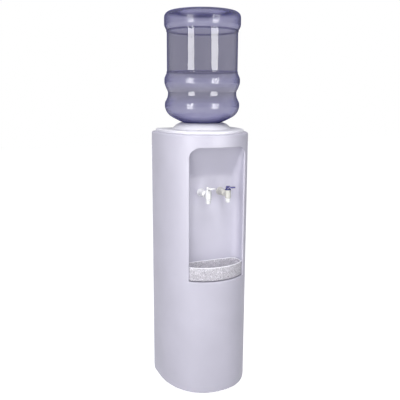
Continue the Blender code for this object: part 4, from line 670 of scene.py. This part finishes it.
def make_shell():
    """One bowed skin from the plinth over the rim, with a rolled lip round the window."""
    wall_top = SHELL_HIGH.z - RIM_RADIUS
    rim_length = RIM_RADIUS * math.pi / 2

    def rise(v):
        """Height and inset at a length v up the wall, over the rim and in along the flange."""
        if v <= wall_top:
            return v, 0.0
        if v <= wall_top + rim_length:
            turn = (v - wall_top) / RIM_RADIUS
            return wall_top + RIM_RADIUS * math.sin(turn), RIM_RADIUS * (1 - math.cos(turn))
        return SHELL_HIGH.z, RIM_RADIUS + v - wall_top - rim_length

    fine, coarse, bent = 0.0035, 0.010, 0.075
    us = [0.0]
    while us[-1] < PLAN.end:
        u = us[-1]
        flat = PLAN.SPLIT + bent < u < PLAN.end - bent
        us.append(min(PLAN.end, u + (coarse if flat else fine)))
    us = [-u for u in us[:0:-1]] + us
    vs = [SHELL_LOW.z, SHELL_LOW.z + 0.001]
    while vs[-1] < wall_top - 0.016:
        vs.append(vs[-1] + 0.014)
    vs += [wall_top - 0.002] + [wall_top + rim_length * i / 6 for i in range(7)]
    vs += [wall_top + rim_length + 0.005, wall_top + rim_length + RIM_FLANGE - RIM_RADIUS]

    outline = window_outline(LIP_RADIUS)
    flat_points = [Vector(p) for p in outline]
    edges = [(i, (i + 1) % len(outline)) for i in range(len(outline))]
    for u in us:
        for v in vs:
            if not inside_window(u, v, LIP_RADIUS + 0.002):
                flat_points.append(Vector((u, v)))
    made = geometry.delaunay_2d_cdt(flat_points, edges, [], 0, 0.0000001)
    spots, triangles = made[0], made[2]
    verts = []
    for spot in spots:
        z, inset = rise(spot.y)
        x, y = PLAN.point(spot.x, inset)
        verts.append((x, y, z))
    faces = []
    for triangle in triangles:
        middle = sum((spots[i] for i in triangle), Vector((0, 0))) / 3
        if not inside_window(middle.x, middle.y, LIP_RADIUS - 0.00001):
            faces.append(tuple(triangle))

    steps = 5
    rings = []
    for k in range(steps + 1):
        turn = math.pi / 2 * k / steps
        rings.append((LIP_RADIUS * (1 - math.sin(turn)), LIP_RADIUS * (1 - math.cos(turn))))
    rings.append((0.0, LINER_FRONT_INSET - 0.0004))
    starts = []
    for grow, inset in rings:
        starts.append(len(verts))
        for u, v in window_outline(grow):
            x, y = PLAN.point(u, inset)
            verts.append((x, y, v))
    size = len(outline)
    for low, high in zip(starts, starts[1:]):
        faces += ring_faces(low, high, size)
    shell = piece("shell_skin", verts, faces, CABINET)
    spot = shell.data.polygons[0].center
    thickened(shell, Vector((spot.x, spot.y - AXIS_Y, 0)), SHELL_SKIN)
    return claim(shell, "cabinet_shell")


def make_plinth():
    low, high = PLINTH_LOW.z, PLINTH_HIGH.z
    outer, inner = HALF_WIDTH - PLINTH_HIGH.x, PLINTH_INSIDE
    section = fillet([(outer, low), (outer, high), (inner, high), (inner, low)], PLINTH_EDGE, 3)
    rings = [level(plan_loop(inset), z) for inset, z in section]
    rings_piece("plinth_band", rings, CABINET, "base_plinth", loop=True)


def radial_loop(loop, count, centre):
    """A closed outline sampled at even angles about a centre."""
    origin = Vector(centre)
    run = [Vector(p) - origin for p in loop]
    turns = [math.atan2(p.y, p.x) % math.tau for p in run]
    order = sorted(range(len(run)), key=lambda i: turns[i])
    run, turns = [run[i] for i in order], [turns[i] for i in order]
    sampled, k = [], 0
    for i in range(count):
        angle = math.tau * i / count
        while k < len(run) and turns[k] < angle:
            k += 1
        a, b = run[k - 1], run[k % len(run)]
        heading = Vector((math.cos(angle), math.sin(angle)))
        across = b - a
        cross = heading.x * across.y - heading.y * across.x
        reach = (a.x * across.y - a.y * across.x) / cross if abs(cross) > 1e-12 else a.length
        sampled.append(tuple(origin + heading * reach))
    return sampled


def make_cover():
    """Raised deck with a rounded edge and the bottle's hole, open underneath."""
    count = 240
    low, high = COVER_LOW.z, COVER_HIGH.z
    inset, edge, wall, hole = COVER_INSET, COVER_EDGE, COVER_WALL, COVER_HOLE_RADIUS
    outer = [(inset + wall, low), (inset, low), (inset, low + 0.001)]
    for i in range(7):
        a = math.pi / 2 * i / 6
        outer.append((inset + edge * (1 - math.cos(a)), high - edge * (1 - math.sin(a))))
    under = [(inset + edge + 0.001, high - wall), (inset + wall + 0.0005, low + 0.003)]
    runs = [[level(radial_loop(plan_loop(away), count, (0, AXIS_Y)), z) for away, z in run]
            for run in (outer, under)]
    turns = [math.tau * i / count for i in range(count)]
    holes = [level([(radius * math.cos(a), radius * math.sin(a) + AXIS_Y) for a in turns], z)
             for radius, z in ((hole + 0.0015, high), (hole, high - 0.0008), (hole, high - wall))]
    return rings_piece("cover_deck", runs[0] + holes + runs[1], COVER, "top_cover", loop=True)


def walled(run, wall):
    """An open profile closed into a wall that lies to its left, or to its right if negative."""
    back = []
    for i, point in enumerate(run):
        heading = Vector(run[min(i + 1, len(run) - 1)]) - Vector(run[max(i - 1, 0)])
        heading.normalize()
        back.append((max(0.0, point[0] - heading.y * wall), point[1] + heading.x * wall))
    return list(run) + back[::-1]


def make_collar():
    """Flared skirt and funnel that carry the bottle, with a bead round the foot."""
    base, top = COLLAR_LOW.z, COLLAR_HIGH.z
    deck = COVER_HIGH.z + GAP
    rise, width, sleeve = top - deck, COLLAR_SKIRT_WIDTH, COLLAR_SLEEVE_RADIUS
    rim = COLLAR_HIGH.x - width
    shares = [(1.00, 0.06), (0.975, 0.11), (0.90, 0.22), (0.80, 0.375), (0.70, 0.52),
              (0.585, 0.665), (0.455, 0.78), (0.30, 0.885), (0.12, 0.965), (0.00, 0.975)]
    foot = [(COLLAR_HIGH.x, deck), (COLLAR_HIGH.x, deck + rise * 0.045)]
    skirt = curved([(rim + width * out, deck + rise * up) for out, up in shares], 4)
    funnel = fillet(mm(rim, top, (0, -0.6), (-4, -2.5)) + mm(sleeve, deck, (17.5, 8.7), (0, -9.3))
                    + [(sleeve, base)], 0.006, 4, closed=False)
    profile = walled(foot + skirt + funnel[1:], COLLAR_WALL)
    return lathe("collar_skirt", profile, (0, AXIS_Y, 0), COVER, "bottle_collar", "collar",
                 segments=144, smooth=50)


def make_bottle():
    """Inverted five-gallon bottle: recessed base, three broad ribs, shoulder and neck."""
    top, mouth = BOTTLE_HIGH.z, BOTTLE_LOW.z
    rib, neck, neck_top = BOTTLE_HIGH.x - GAP, BOTTLE_NECK_RADIUS, mouth + BOTTLE_NECK_LENGTH
    first, last = top - 0.0375, neck_top + 0.0905
    middle = last + 0.085
    base = [(0, top - 0.0140)] + mm(rib, top, (-100, -13.8), (-72, -11.8), (-58, -6), (-50, -1),
                                    (-44, 0), (-30, -0.1), (-21, -0.7), (-12, -3.2),
                                    (-4.8, -8.8), (-1, -15.5))
    upper = mm(rib, first, (0, 14), (0, 3), (0, -8), (-1, -13), (-4.3, -20.2), (-7.8, -27),
               (-8.9, -31.5), (-9, -34.5))
    waist = mm(rib, middle, (-9, 38), (-8.9, 34.5), (-7.4, 27), (-2.5, 16.5), (0.2, 8.5), (0.3, 1),
               (0, -7), (-2.5, -15), (-7, -26.5), (-11.6, -36), (-12.2, -42))
    lower = mm(rib, last, (-10.8, 31), (-6.5, 20), (-1.8, 10.5), (-1, 5), (-1.2, -6), (-4, -16),
               (-9.5, -26.5), (-20, -37.5), (-39, -48.5), (-55.5, -56.5))
    stem = mm(neck, neck_top, (34.5, 27), (17.5, 19.5), (6.5, 11), (0.8, 3), (0, -4))
    profile = curved(base + upper + waist + lower + stem + mm(neck, mouth, (0, 1), (-0.4, 0)), 4)
    profile = [(max(0.0, min(r, rib + GAP)), min(z, top)) for r, z in profile]
    return lathe("bottle_body", walled(profile, -BOTTLE_WALL), (0, AXIS_Y, 0), BOTTLE,
                 "water_bottle", "bottle", segments=128, smooth=60)


def make_bottle_cap():
    """Snap cap with a grip of fine ribs round its skirt and a hole for the probe."""
    low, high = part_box("bottle_cap")
    outer, inner, floor, hole = high.x, high.x - 0.0016, low.z + 0.0016, 0.010
    cap = lathe("cap_shell", fillet([(inner, high.z), (outer - 0.0005, high.z),
                                     (outer - 0.0005, low.z), (hole, low.z), (hole, floor),
                                     (inner, floor)], 0.0004, 2),
                (0, AXIS_Y, 0), CAP, segments=96)
    verts, faces = [], []
    ribs = 48
    for i in range(ribs):
        start = len(verts)
        for z in (low.z + 0.002, high.z - 0.003):
            for out, turn in ((outer - 0.0008, -0.35), (outer, 0.0), (outer - 0.0008, 0.35)):
                angle = math.tau * (i + turn) / ribs
                verts.append((out * math.cos(angle), AXIS_Y + out * math.sin(angle), z))
        faces += [tuple(start + k for k in face)
                  for face in ((0, 1, 2), (3, 5, 4), (0, 3, 4, 1), (1, 4, 5, 2), (2, 5, 3, 0))]
    grip = piece("cap_grip", verts, faces, CAP)
    return claim(joined(cap, grip), "bottle_cap", "bottle")


# ---- alcove
def soffit_y(z):
    """The alcove's back wall: upright, then leaning forward to the lintel with a soft break."""
    slope = SOFFIT_REACH / (ALCOVE_TOP - ALCOVE_BREAK)
    past = z - (ALCOVE_BREAK - SOFFIT_BLEND)
    if past <= 0:
        return ALCOVE_BACK_Y
    if past < 2 * SOFFIT_BLEND:
        return ALCOVE_BACK_Y - slope * past * past / (4 * SOFFIT_BLEND)
    return ALCOVE_BACK_Y - slope * (past - SOFFIT_BLEND)


def make_liner():
    """The alcove's skin: side walls round into the back, with a floor and a ceiling."""
    lean_from = ALCOVE_BREAK - SOFFIT_BLEND
    heights = [ALCOVE_FLOOR + (lean_from - ALCOVE_FLOOR) * i / 12 for i in range(12)]
    heights += [lean_from + (ALCOVE_TOP - lean_from) * i / 24 for i in range(25)]
    side_steps, arc_steps, front_steps = 8, 10, 24
    verts, faces, width = [], [], 0
    for z in heights:
        lean = max(0.0, (z - ALCOVE_BREAK) / (ALCOVE_TOP - ALCOVE_BREAK))
        back, radius = soffit_y(z), ALCOVE_CORNER_RADIUS * (1 - 0.75 * lean)
        front = front_y(ALCOVE_HALF, LINER_FRONT_INSET)
        corner = arc((ALCOVE_HALF - radius, back - radius), radius, 0, 90, arc_steps)
        side = [(ALCOVE_HALF, front + (back - radius - front) * i / side_steps)
                for i in range(side_steps)]
        half = side + corner
        row = half + [(-x, y) for x, y in reversed(half)]
        width = len(row)
        verts += level(row, z)
    for k in range(len(heights) - 1):
        for i in range(width - 1):
            a, b = k * width + i, (k + 1) * width + i
            faces.append((a, a + 1, b + 1, b))
    for k in (0, len(heights) - 1):
        row = list(range(k * width, (k + 1) * width))
        start = len(verts)
        for i in range(1, front_steps):
            x = -ALCOVE_HALF + 2 * ALCOVE_HALF * i / front_steps
            verts.append((x, front_y(x, LINER_FRONT_INSET), heights[k]))
        faces.append(tuple(row + list(range(start, len(verts)))))
    liner = piece("alcove_skin", verts, faces, LINER)
    spot = liner.data.polygons[0].center
    thickened(liner, Vector((-spot.x, 0, 0)), LINER_WALL)
    return claim(liner, "alcove_liner")


# ---- drip tray
def tray_outline(inset, front_steps=48, corner_steps=8):
    """The tray's plan moved inwards: bowed front, small front corners, round rear corners."""
    half, back = TRAY_HIGH.x - inset, TRAY_HIGH.y - inset
    rear = TRAY_CORNER_RADIUS - inset
    turn = max(TRAY_LEAST_CORNER, TRAY_FRONT_CORNER - inset)
    lead = TRAY_FRONT_INSET + inset
    tip = Vector((half, front_y(half, lead)))
    start = Vector((half - turn, front_y(half - turn, lead)))
    end = tip + Vector((0, turn))
    corner = []
    for k in range(1, corner_steps + 1):
        corner.append(bend(start, tip, end, k / corner_steps))
    across = [start.x * (2 * i / front_steps - 1) for i in range(front_steps + 1)]
    front = [(x, front_y(x, lead)) for x in across]
    right = corner + arc((half - rear, back - rear), rear, 0, 90, corner_steps)
    return front + right + [(-x, y) for x, y in reversed(right)]


def make_tray():
    low, top = TRAY_LOW.z, TRAY_HIGH.z
    ledge = GRILLE_LOW.z - GAP
    well = TRAY_WALL + TRAY_LEDGE
    section = [(0.006, low), (0, low), (0, top), (TRAY_WALL, top), (TRAY_WALL, ledge),
               (well, ledge), (well, low + TRAY_WALL), (well + 0.006, low + TRAY_WALL)]
    radii = [0, 0.0035, 0.0010, 0.0010, 0.0006, 0.0008, 0.0050, 0]
    rings = [level(tray_outline(inset), z)
             for inset, z in fillet(section, radii, 4, closed=False)]
    return rings_piece("tray_basin", rings, TRAY, "drip_tray", "tray")


def make_grille():
    """Loose plate with two columns of round-ended slots, close together."""
    slot_width, pitch, margin, rib = 0.0055, 0.0105, 0.007, 0.006
    outer = TRAY_WALL + 0.0005
    slots = []
    y = TRAY_HIGH.y - TRAY_WALL - 2 * margin
    lead = TRAY_FRONT_INSET + TRAY_WALL + margin
    while y > FRONT_Y + lead + slot_width:
        share = max(0.0, 1 - ((WIDEST_Y - y + slot_width / 2)
                              / (FRONT_CURVE_DEPTH - lead)) ** FRONT_CURVE_POWER)
        reach = min(TRAY_HIGH.x - TRAY_WALL - margin,
                    (HALF_WIDTH - lead) * share ** (1 / FRONT_CURVE_POWER))
        half, radius = (reach - rib / 2) / 2, slot_width / 2
        if half > slot_width:
            for sign in (-1, 1):
                middle = sign * (rib / 2 + half)
                slots.append(arc((middle + half - radius, y), radius, -90, 90, 6)
                             + arc((middle - half + radius, y), radius, 90, 270, 6))
        y -= pitch
    plate = outline_plate("grille_plate", [tray_outline(outer)] + [slot[::-1] for slot in slots],
                          GRILLE_LOW.z, GRILLE_HIGH.z, 0.0004, TRAY)
    return claim(plate, "drip_grille", "grille")


# ---- taps
TAP_HEIGHT = sum(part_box("tap_washer_left")[k].z for k in (0, 1)) / 2
VALVE_Y = sum(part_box("tap_spout_left")[k].y for k in (0, 1)) / 2
VALVE_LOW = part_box("tap_spout_left")[1].z + GAP
VALVE_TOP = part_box("tap_bonnet_left")[0].z - GAP
PIVOT_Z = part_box("tap_bonnet_left")[0].z + 0.0105


def make_tap_body(side, x, mat):
    """Flange, barrel and arm lying towards the front, and the valve standing at their end."""
    front = ALCOVE_BACK_Y - GAP
    reach, end = front - VALVE_Y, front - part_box("tap_body_" + side)[1].y
    section = mm(0, reach, (0, 4.5), (8, 4.5), (8, -21.5), (10.5, -24), (12, -26))
    section += mm(0, 0, (12, 8), (12.6, 7.2), (12.6, 4.8), (14.5, 4), (14.5, 0), (8, 0))
    section += mm(0, end, (8, 0), (0, 0))
    radii = [0, 0.002, 0.001, 0.001, 0.0015, 0.0006, 0.0006, 0.0006, 0.0012, 0, 0, 0.0008, 0]
    barrel = lathe("tap_barrel_" + side, fillet(section, radii, 4, closed=False),
                   (x, front, TAP_HEIGHT), mat, turn=FORWARD)
    section = mm(0, VALVE_LOW, (0, 0), (9, 0), (10.5, 3))
    section += mm(0, VALVE_TOP, (10.5, -4.5), (9.9, -3.8), (9.9, -2.8), (10.5, -2.1), (10.5, 0),
                  (0, 0))
    radii = [0, 0.001, 0.001, 0.0004, 0.0003, 0.0003, 0.0004, 0.0006, 0]
    valve = lathe("tap_valve_" + side, fillet(section, radii, 3, closed=False),
                  (x, VALVE_Y, 0), mat)
    return claim(united(barrel, [valve]), "tap_body_" + side)


def make_spout(side, x):
    low, top = (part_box("tap_spout_" + side)[k].z for k in (0, 1))
    section = mm(0, top, (4, 0), (8.8, 0), (9.2, -1), (9.2, -3.6), (7.8, -4.8), (7.8, -8),
                 (8.8, -8.8), (8.8, -11.2), (7.8, -12)) + mm(0, low, (7, 0), (5.2, 0), (4.2, 6))
    return lathe("spout_tube_" + side, fillet(section, 0.0006, 3), (x, VALVE_Y, 0), TAP_WHITE,
                 "tap_spout_" + side)


def make_bonnet(side, x, mat):
    low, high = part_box("tap_bonnet_" + side)
    section = mm(0, low.z, (3.4, 0), (11.2, 0), (11.2, 2), (9, 3.5), (3.4, 3.5))
    bonnet = lathe("bonnet_ring_" + side, fillet(section, [0, 0.0004, 0.001, 0.001, 0.0003], 3),
                   (x, VALVE_Y, 0), mat)
    ears = []
    for sign in (-1, 1):
        near, far = sorted((x + sign * 0.0047, x + sign * 0.0067))
        crown = arc((0, PIVOT_Z), 0.0035, 0, 180, 12)
        flank = [(-0.0050, low.z + 0.0020), (0.0050, low.z + 0.0020)]
        rings = [[(depth, VALVE_Y + y, z) for y, z in crown + flank] for depth in (near, far)]
        ears.append(rings_piece("bonnet_ear_tool", rings, mat))
    return claim(united(bonnet, ears), "tap_bonnet_" + side)


def make_lever(side, x, mat):
    """A hub on two pins with a neck rising forwards into a broad, softly rounded press bar."""
    low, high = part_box("tap_lever_" + side)
    section = mm(0, 0, (0, -4.2), (3.8, -4.2), (3.8, 4.2), (0, 4.2))
    hub = lathe("lever_hub_" + side, fillet(section, [0, 0.0006, 0.0006, 0], 3, closed=False),
                (x, VALVE_Y, PIVOT_Z), mat, turn=SIDEWAYS, segments=40)
    reach = (high.x - low.x) / 2
    pin = lathe("lever_pin_tool", mm(0, 0, (0, -6.3), (1.8, -6.3), (1.8, 6.3), (0, 6.3)),
                (x, VALVE_Y, PIVOT_Z), mat, turn=SIDEWAYS, segments=24)
    room = block("lever_slot_tool", (x - 0.0029, VALVE_Y - 0.008, PIVOT_Z - 0.008),
                 (x + 0.0029, VALVE_Y + 0.008, PIVOT_Z + 0.0010), 0, mat)
    arm = block("lever_arm_tool", (x - 0.0032, low.y + 0.004, PIVOT_Z + 0.0002),
                (x + 0.0032, VALVE_Y + 0.001, PIVOT_Z + 0.0035), 0.0010, mat)
    bar = block("lever_bar_tool", (x - reach, low.y, PIVOT_Z - 0.0006),
                (x + reach, low.y + 0.011, PIVOT_Z + 0.0042), 0.0020, mat, segments=5)
    united(united(hub, [pin]), [room], "DIFFERENCE")
    return claim(united(hub, [arm, bar]), "tap_lever_" + side, "lever_" + side)


def make_plunger(side, x):
    low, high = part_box("tap_plunger_" + side)
    section = mm(0, low.z, (0, 0), (4.5, 0), (6.2, 1.2), (6.2, 8.5), (2.6, 9.2))
    section += mm(0, high.z, (2.6, 0), (0, 0))
    return lathe("plunger_cone_" + side, fillet(section, 0.0005, 3, closed=False),
                 (x, VALVE_Y, 0), SILICONE, "tap_plunger_" + side, "plunger_" + side, segments=40)


def make_taps():
    for side, body_mat, lever_mat in (("left", TAP_WHITE, TAP_WHITE), ("right", TAP_CREAM, NAVY)):
        low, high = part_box("tap_spout_" + side)
        x = (low.x + high.x) / 2
        make_tap_body(side, x, body_mat)
        make_spout(side, x)
        make_bonnet(side, x, lever_mat)
        make_lever(side, x, lever_mat)
        make_plunger(side, x)


# ---- rear controls
KNOB_SHAFT_RADIUS = 0.0035
KNOB_STAND_OFF = 0.0010
DRAIN_BORE_RADIUS = 0.0079


def fluted(name, profile, flutes, depth, centre, mat):
    """A solid turned about the rearward axis, its sides scalloped by a share of the depth."""
    count = flutes * 8
    rings = []
    for radius, height, share in profile:
        ring = []
        for i in range(count):
            angle = math.tau * i / count
            out = radius - depth * share * (0.5 + 0.5 * math.cos(flutes * angle)) ** 2
            spot = Vector((out * math.cos(angle), out * math.sin(angle), height))
            ring.append(BACKWARD @ spot + Vector(centre))
        rings.append(ring)
    return rings_piece(name, rings, mat)


def make_knob():
    """Scalloped knob with a dished face and a pointer groove, its shaft in the panel's hole."""
    low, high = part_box("thermostat_knob")
    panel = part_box("rear_panel")[1].y
    radius, height = (high.x - low.x) / 2, high.y - panel
    place = ((low.x + high.x) / 2, panel, (low.z + high.z) / 2)
    profile = [(KNOB_SHAFT_RADIUS, low.y - panel, 0), (KNOB_SHAFT_RADIUS, KNOB_STAND_OFF, 0)]
    profile += mm(radius, KNOB_STAND_OFF, (-0.4, 0, 1), (0, 0.8, 1))
    profile += mm(radius, height, (-0.6, -2.2, 1), (-1.4, -0.8, 0.8), (-3, 0, 0.3), (-5, 0, 0),
                  (-6.2, -0.8, 0))
    knob = fluted("knob_grip", profile, 16, 0.0012, place, BLACK_PLASTIC)
    groove = block("knob_groove_tool", (place[0] - 0.0009, high.y - 0.0014, place[2] + 0.0030),
                   (place[0] + 0.0009, high.y + 0.0020, high.z + 0.0020), 0, BLACK_PLASTIC)
    return claim(united(knob, [groove], "DIFFERENCE"), "thermostat_knob", "knob")


def make_drain_cap():
    """Screw cap with a fluted skirt and a recessed face."""
    low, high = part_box("drain_cap")
    radius, length = (high.x - low.x) / 2, high.y - low.y
    profile = [(DRAIN_BORE_RADIUS, length - 0.0022, 0), (DRAIN_BORE_RADIUS, 0, 0)]
    profile += mm(radius, 0, (-0.4, 0, 0), (0, 0.8, 0.2), (0, 3, 1))
    profile += mm(radius, length, (0, -3, 1), (-1, -0.8, 0.5), (-2.2, 0, 0), (-3.6, 0, 0),
                  (-4.4, -0.6, 0))
    place = ((low.x + high.x) / 2, low.y, (low.z + high.z) / 2)
    cap = fluted("drain_cap_grip", profile, 18, 0.0009, place, TAP_WHITE)
    return claim(cap, "drain_cap", "drain_cap")


make_shell()
make_plinth()
make_cover()
make_collar()
make_bottle()
make_bottle_cap()
make_liner()
make_tray()
make_grille()
make_taps()
make_knob()
make_drain_cap()

# ---- CAD nodes kept as they are
for cad_node in frame["nodes"].values():
    settle(cad_node)


# ---- studio
ROOM_STRENGTH = 0.55
STRIP_HEIGHT = 1.15
STRIP_WATTS_PER_METRE = 62
SENSOR_WIDTH = 36
LENS = 48.56
CAMERA_PLACE = (-0.7857, -1.8050, 1.0847)


def light(name, place, target, size, watts, diffuse=True, glossy=True):
    data = bpy.data.lights.new(name, "AREA")
    data.shape = "RECTANGLE"
    data.size, data.size_y = size
    data.energy = watts
    lamp = placed(name, data)
    lamp.location = place
    lamp.rotation_euler = (Vector(target) - Vector(place)).to_track_quat("-Z", "Y").to_euler()
    lamp.visible_camera = False
    lamp.visible_diffuse = diffuse
    lamp.visible_glossy = glossy
    lamp.visible_transmission = False
    return lamp


def make_studio():
    world = bpy.data.worlds.new("studio")
    world.use_nodes = True
    nodes, links = world.node_tree.nodes, world.node_tree.links
    sweep = nodes["Background"]
    sweep.inputs["Color"].default_value = (1, 1, 1, 1)
    room = nodes.new("ShaderNodeBackground")
    room.inputs["Color"].default_value = (0.95, 0.96, 1.0, 1)
    room.inputs["Strength"].default_value = ROOM_STRENGTH
    choice = nodes.new("ShaderNodeMixShader")
    links.new(nodes.new("ShaderNodeLightPath").outputs["Is Camera Ray"], choice.inputs[0])
    links.new(room.outputs[0], choice.inputs[1])
    links.new(sweep.outputs[0], choice.inputs[2])
    links.new(choice.outputs[0], nodes["World Output"].inputs["Surface"])
    bpy.context.scene.world = world

    surface = Surface("studio_floor", 0.7)
    surface.base((0.90, 0.90, 0.90), (0.93, 0.93, 0.93), 0.6)
    surface.shader.inputs["Emission Color"].default_value = (1, 1, 1, 1)
    surface.shader.inputs["Emission Strength"].default_value = 0.55
    surface.bump(0.004, 0.0001)
    shape = bmesh.new()
    bmesh.ops.create_grid(shape, x_segments=8, y_segments=8, size=9.0)
    floor = from_shape("studio_floor", shape, surface.done())
    floor.visible_diffuse = False

    middle = (0, AXIS_Y, 0.95)
    for name, place, target, size, watts in (
            ("key", (-0.45, -1.25, 2.45), (0, -0.10, 0.85), (0.9, 0.9), 27),
            ("bounce", (-0.90, -1.80, 0.35), (0, -0.10, 0.62), (0.9, 0.7), 9),
            ("fill", (-1.70, -1.50, 1.20), (0, 0, 0.75), (1.0, 1.5), 20)):
        light(name, place, target, size, watts, glossy=False)
    for name, place, width in (("strip_left", (-1.28, -0.78, 0.93), 0.56),
                               ("strip_right", (0.38, -1.43, 0.93), 0.58)):
        light(name, place, middle, (width, STRIP_HEIGHT), STRIP_WATTS_PER_METRE * width,
              diffuse=False)


def make_camera():
    """Camera a little above the deck, looking down from the front left."""
    turn, dip, shift, lean = (math.radians(a) for a in (-23.01, 11.2383, 0.1923, 0.3285))
    ahead = Vector((-math.sin(turn), math.cos(turn), 0))
    right = Vector((math.cos(turn), math.sin(turn), 0))
    ahead, right = (ahead * math.cos(shift) + right * math.sin(shift),
                    right * math.cos(shift) - ahead * math.sin(shift))
    up = Vector((0, 0, 1))
    ahead, up = (ahead * math.cos(dip) - up * math.sin(dip),
                 up * math.cos(dip) + ahead * math.sin(dip))
    right, up = (right * math.cos(lean) + up * math.sin(lean),
                 up * math.cos(lean) - right * math.sin(lean))
    data = bpy.data.cameras.new("camera")
    data.sensor_width = SENSOR_WIDTH
    data.lens = LENS
    camera = placed("camera", data)
    facing = Matrix((right, up, -ahead)).transposed().to_4x4()
    camera.matrix_world = Matrix.Translation(CAMERA_PLACE) @ facing
    bpy.context.scene.camera = camera


make_studio()
make_camera()
bpy.context.scene.view_settings.view_transform = "Standard"
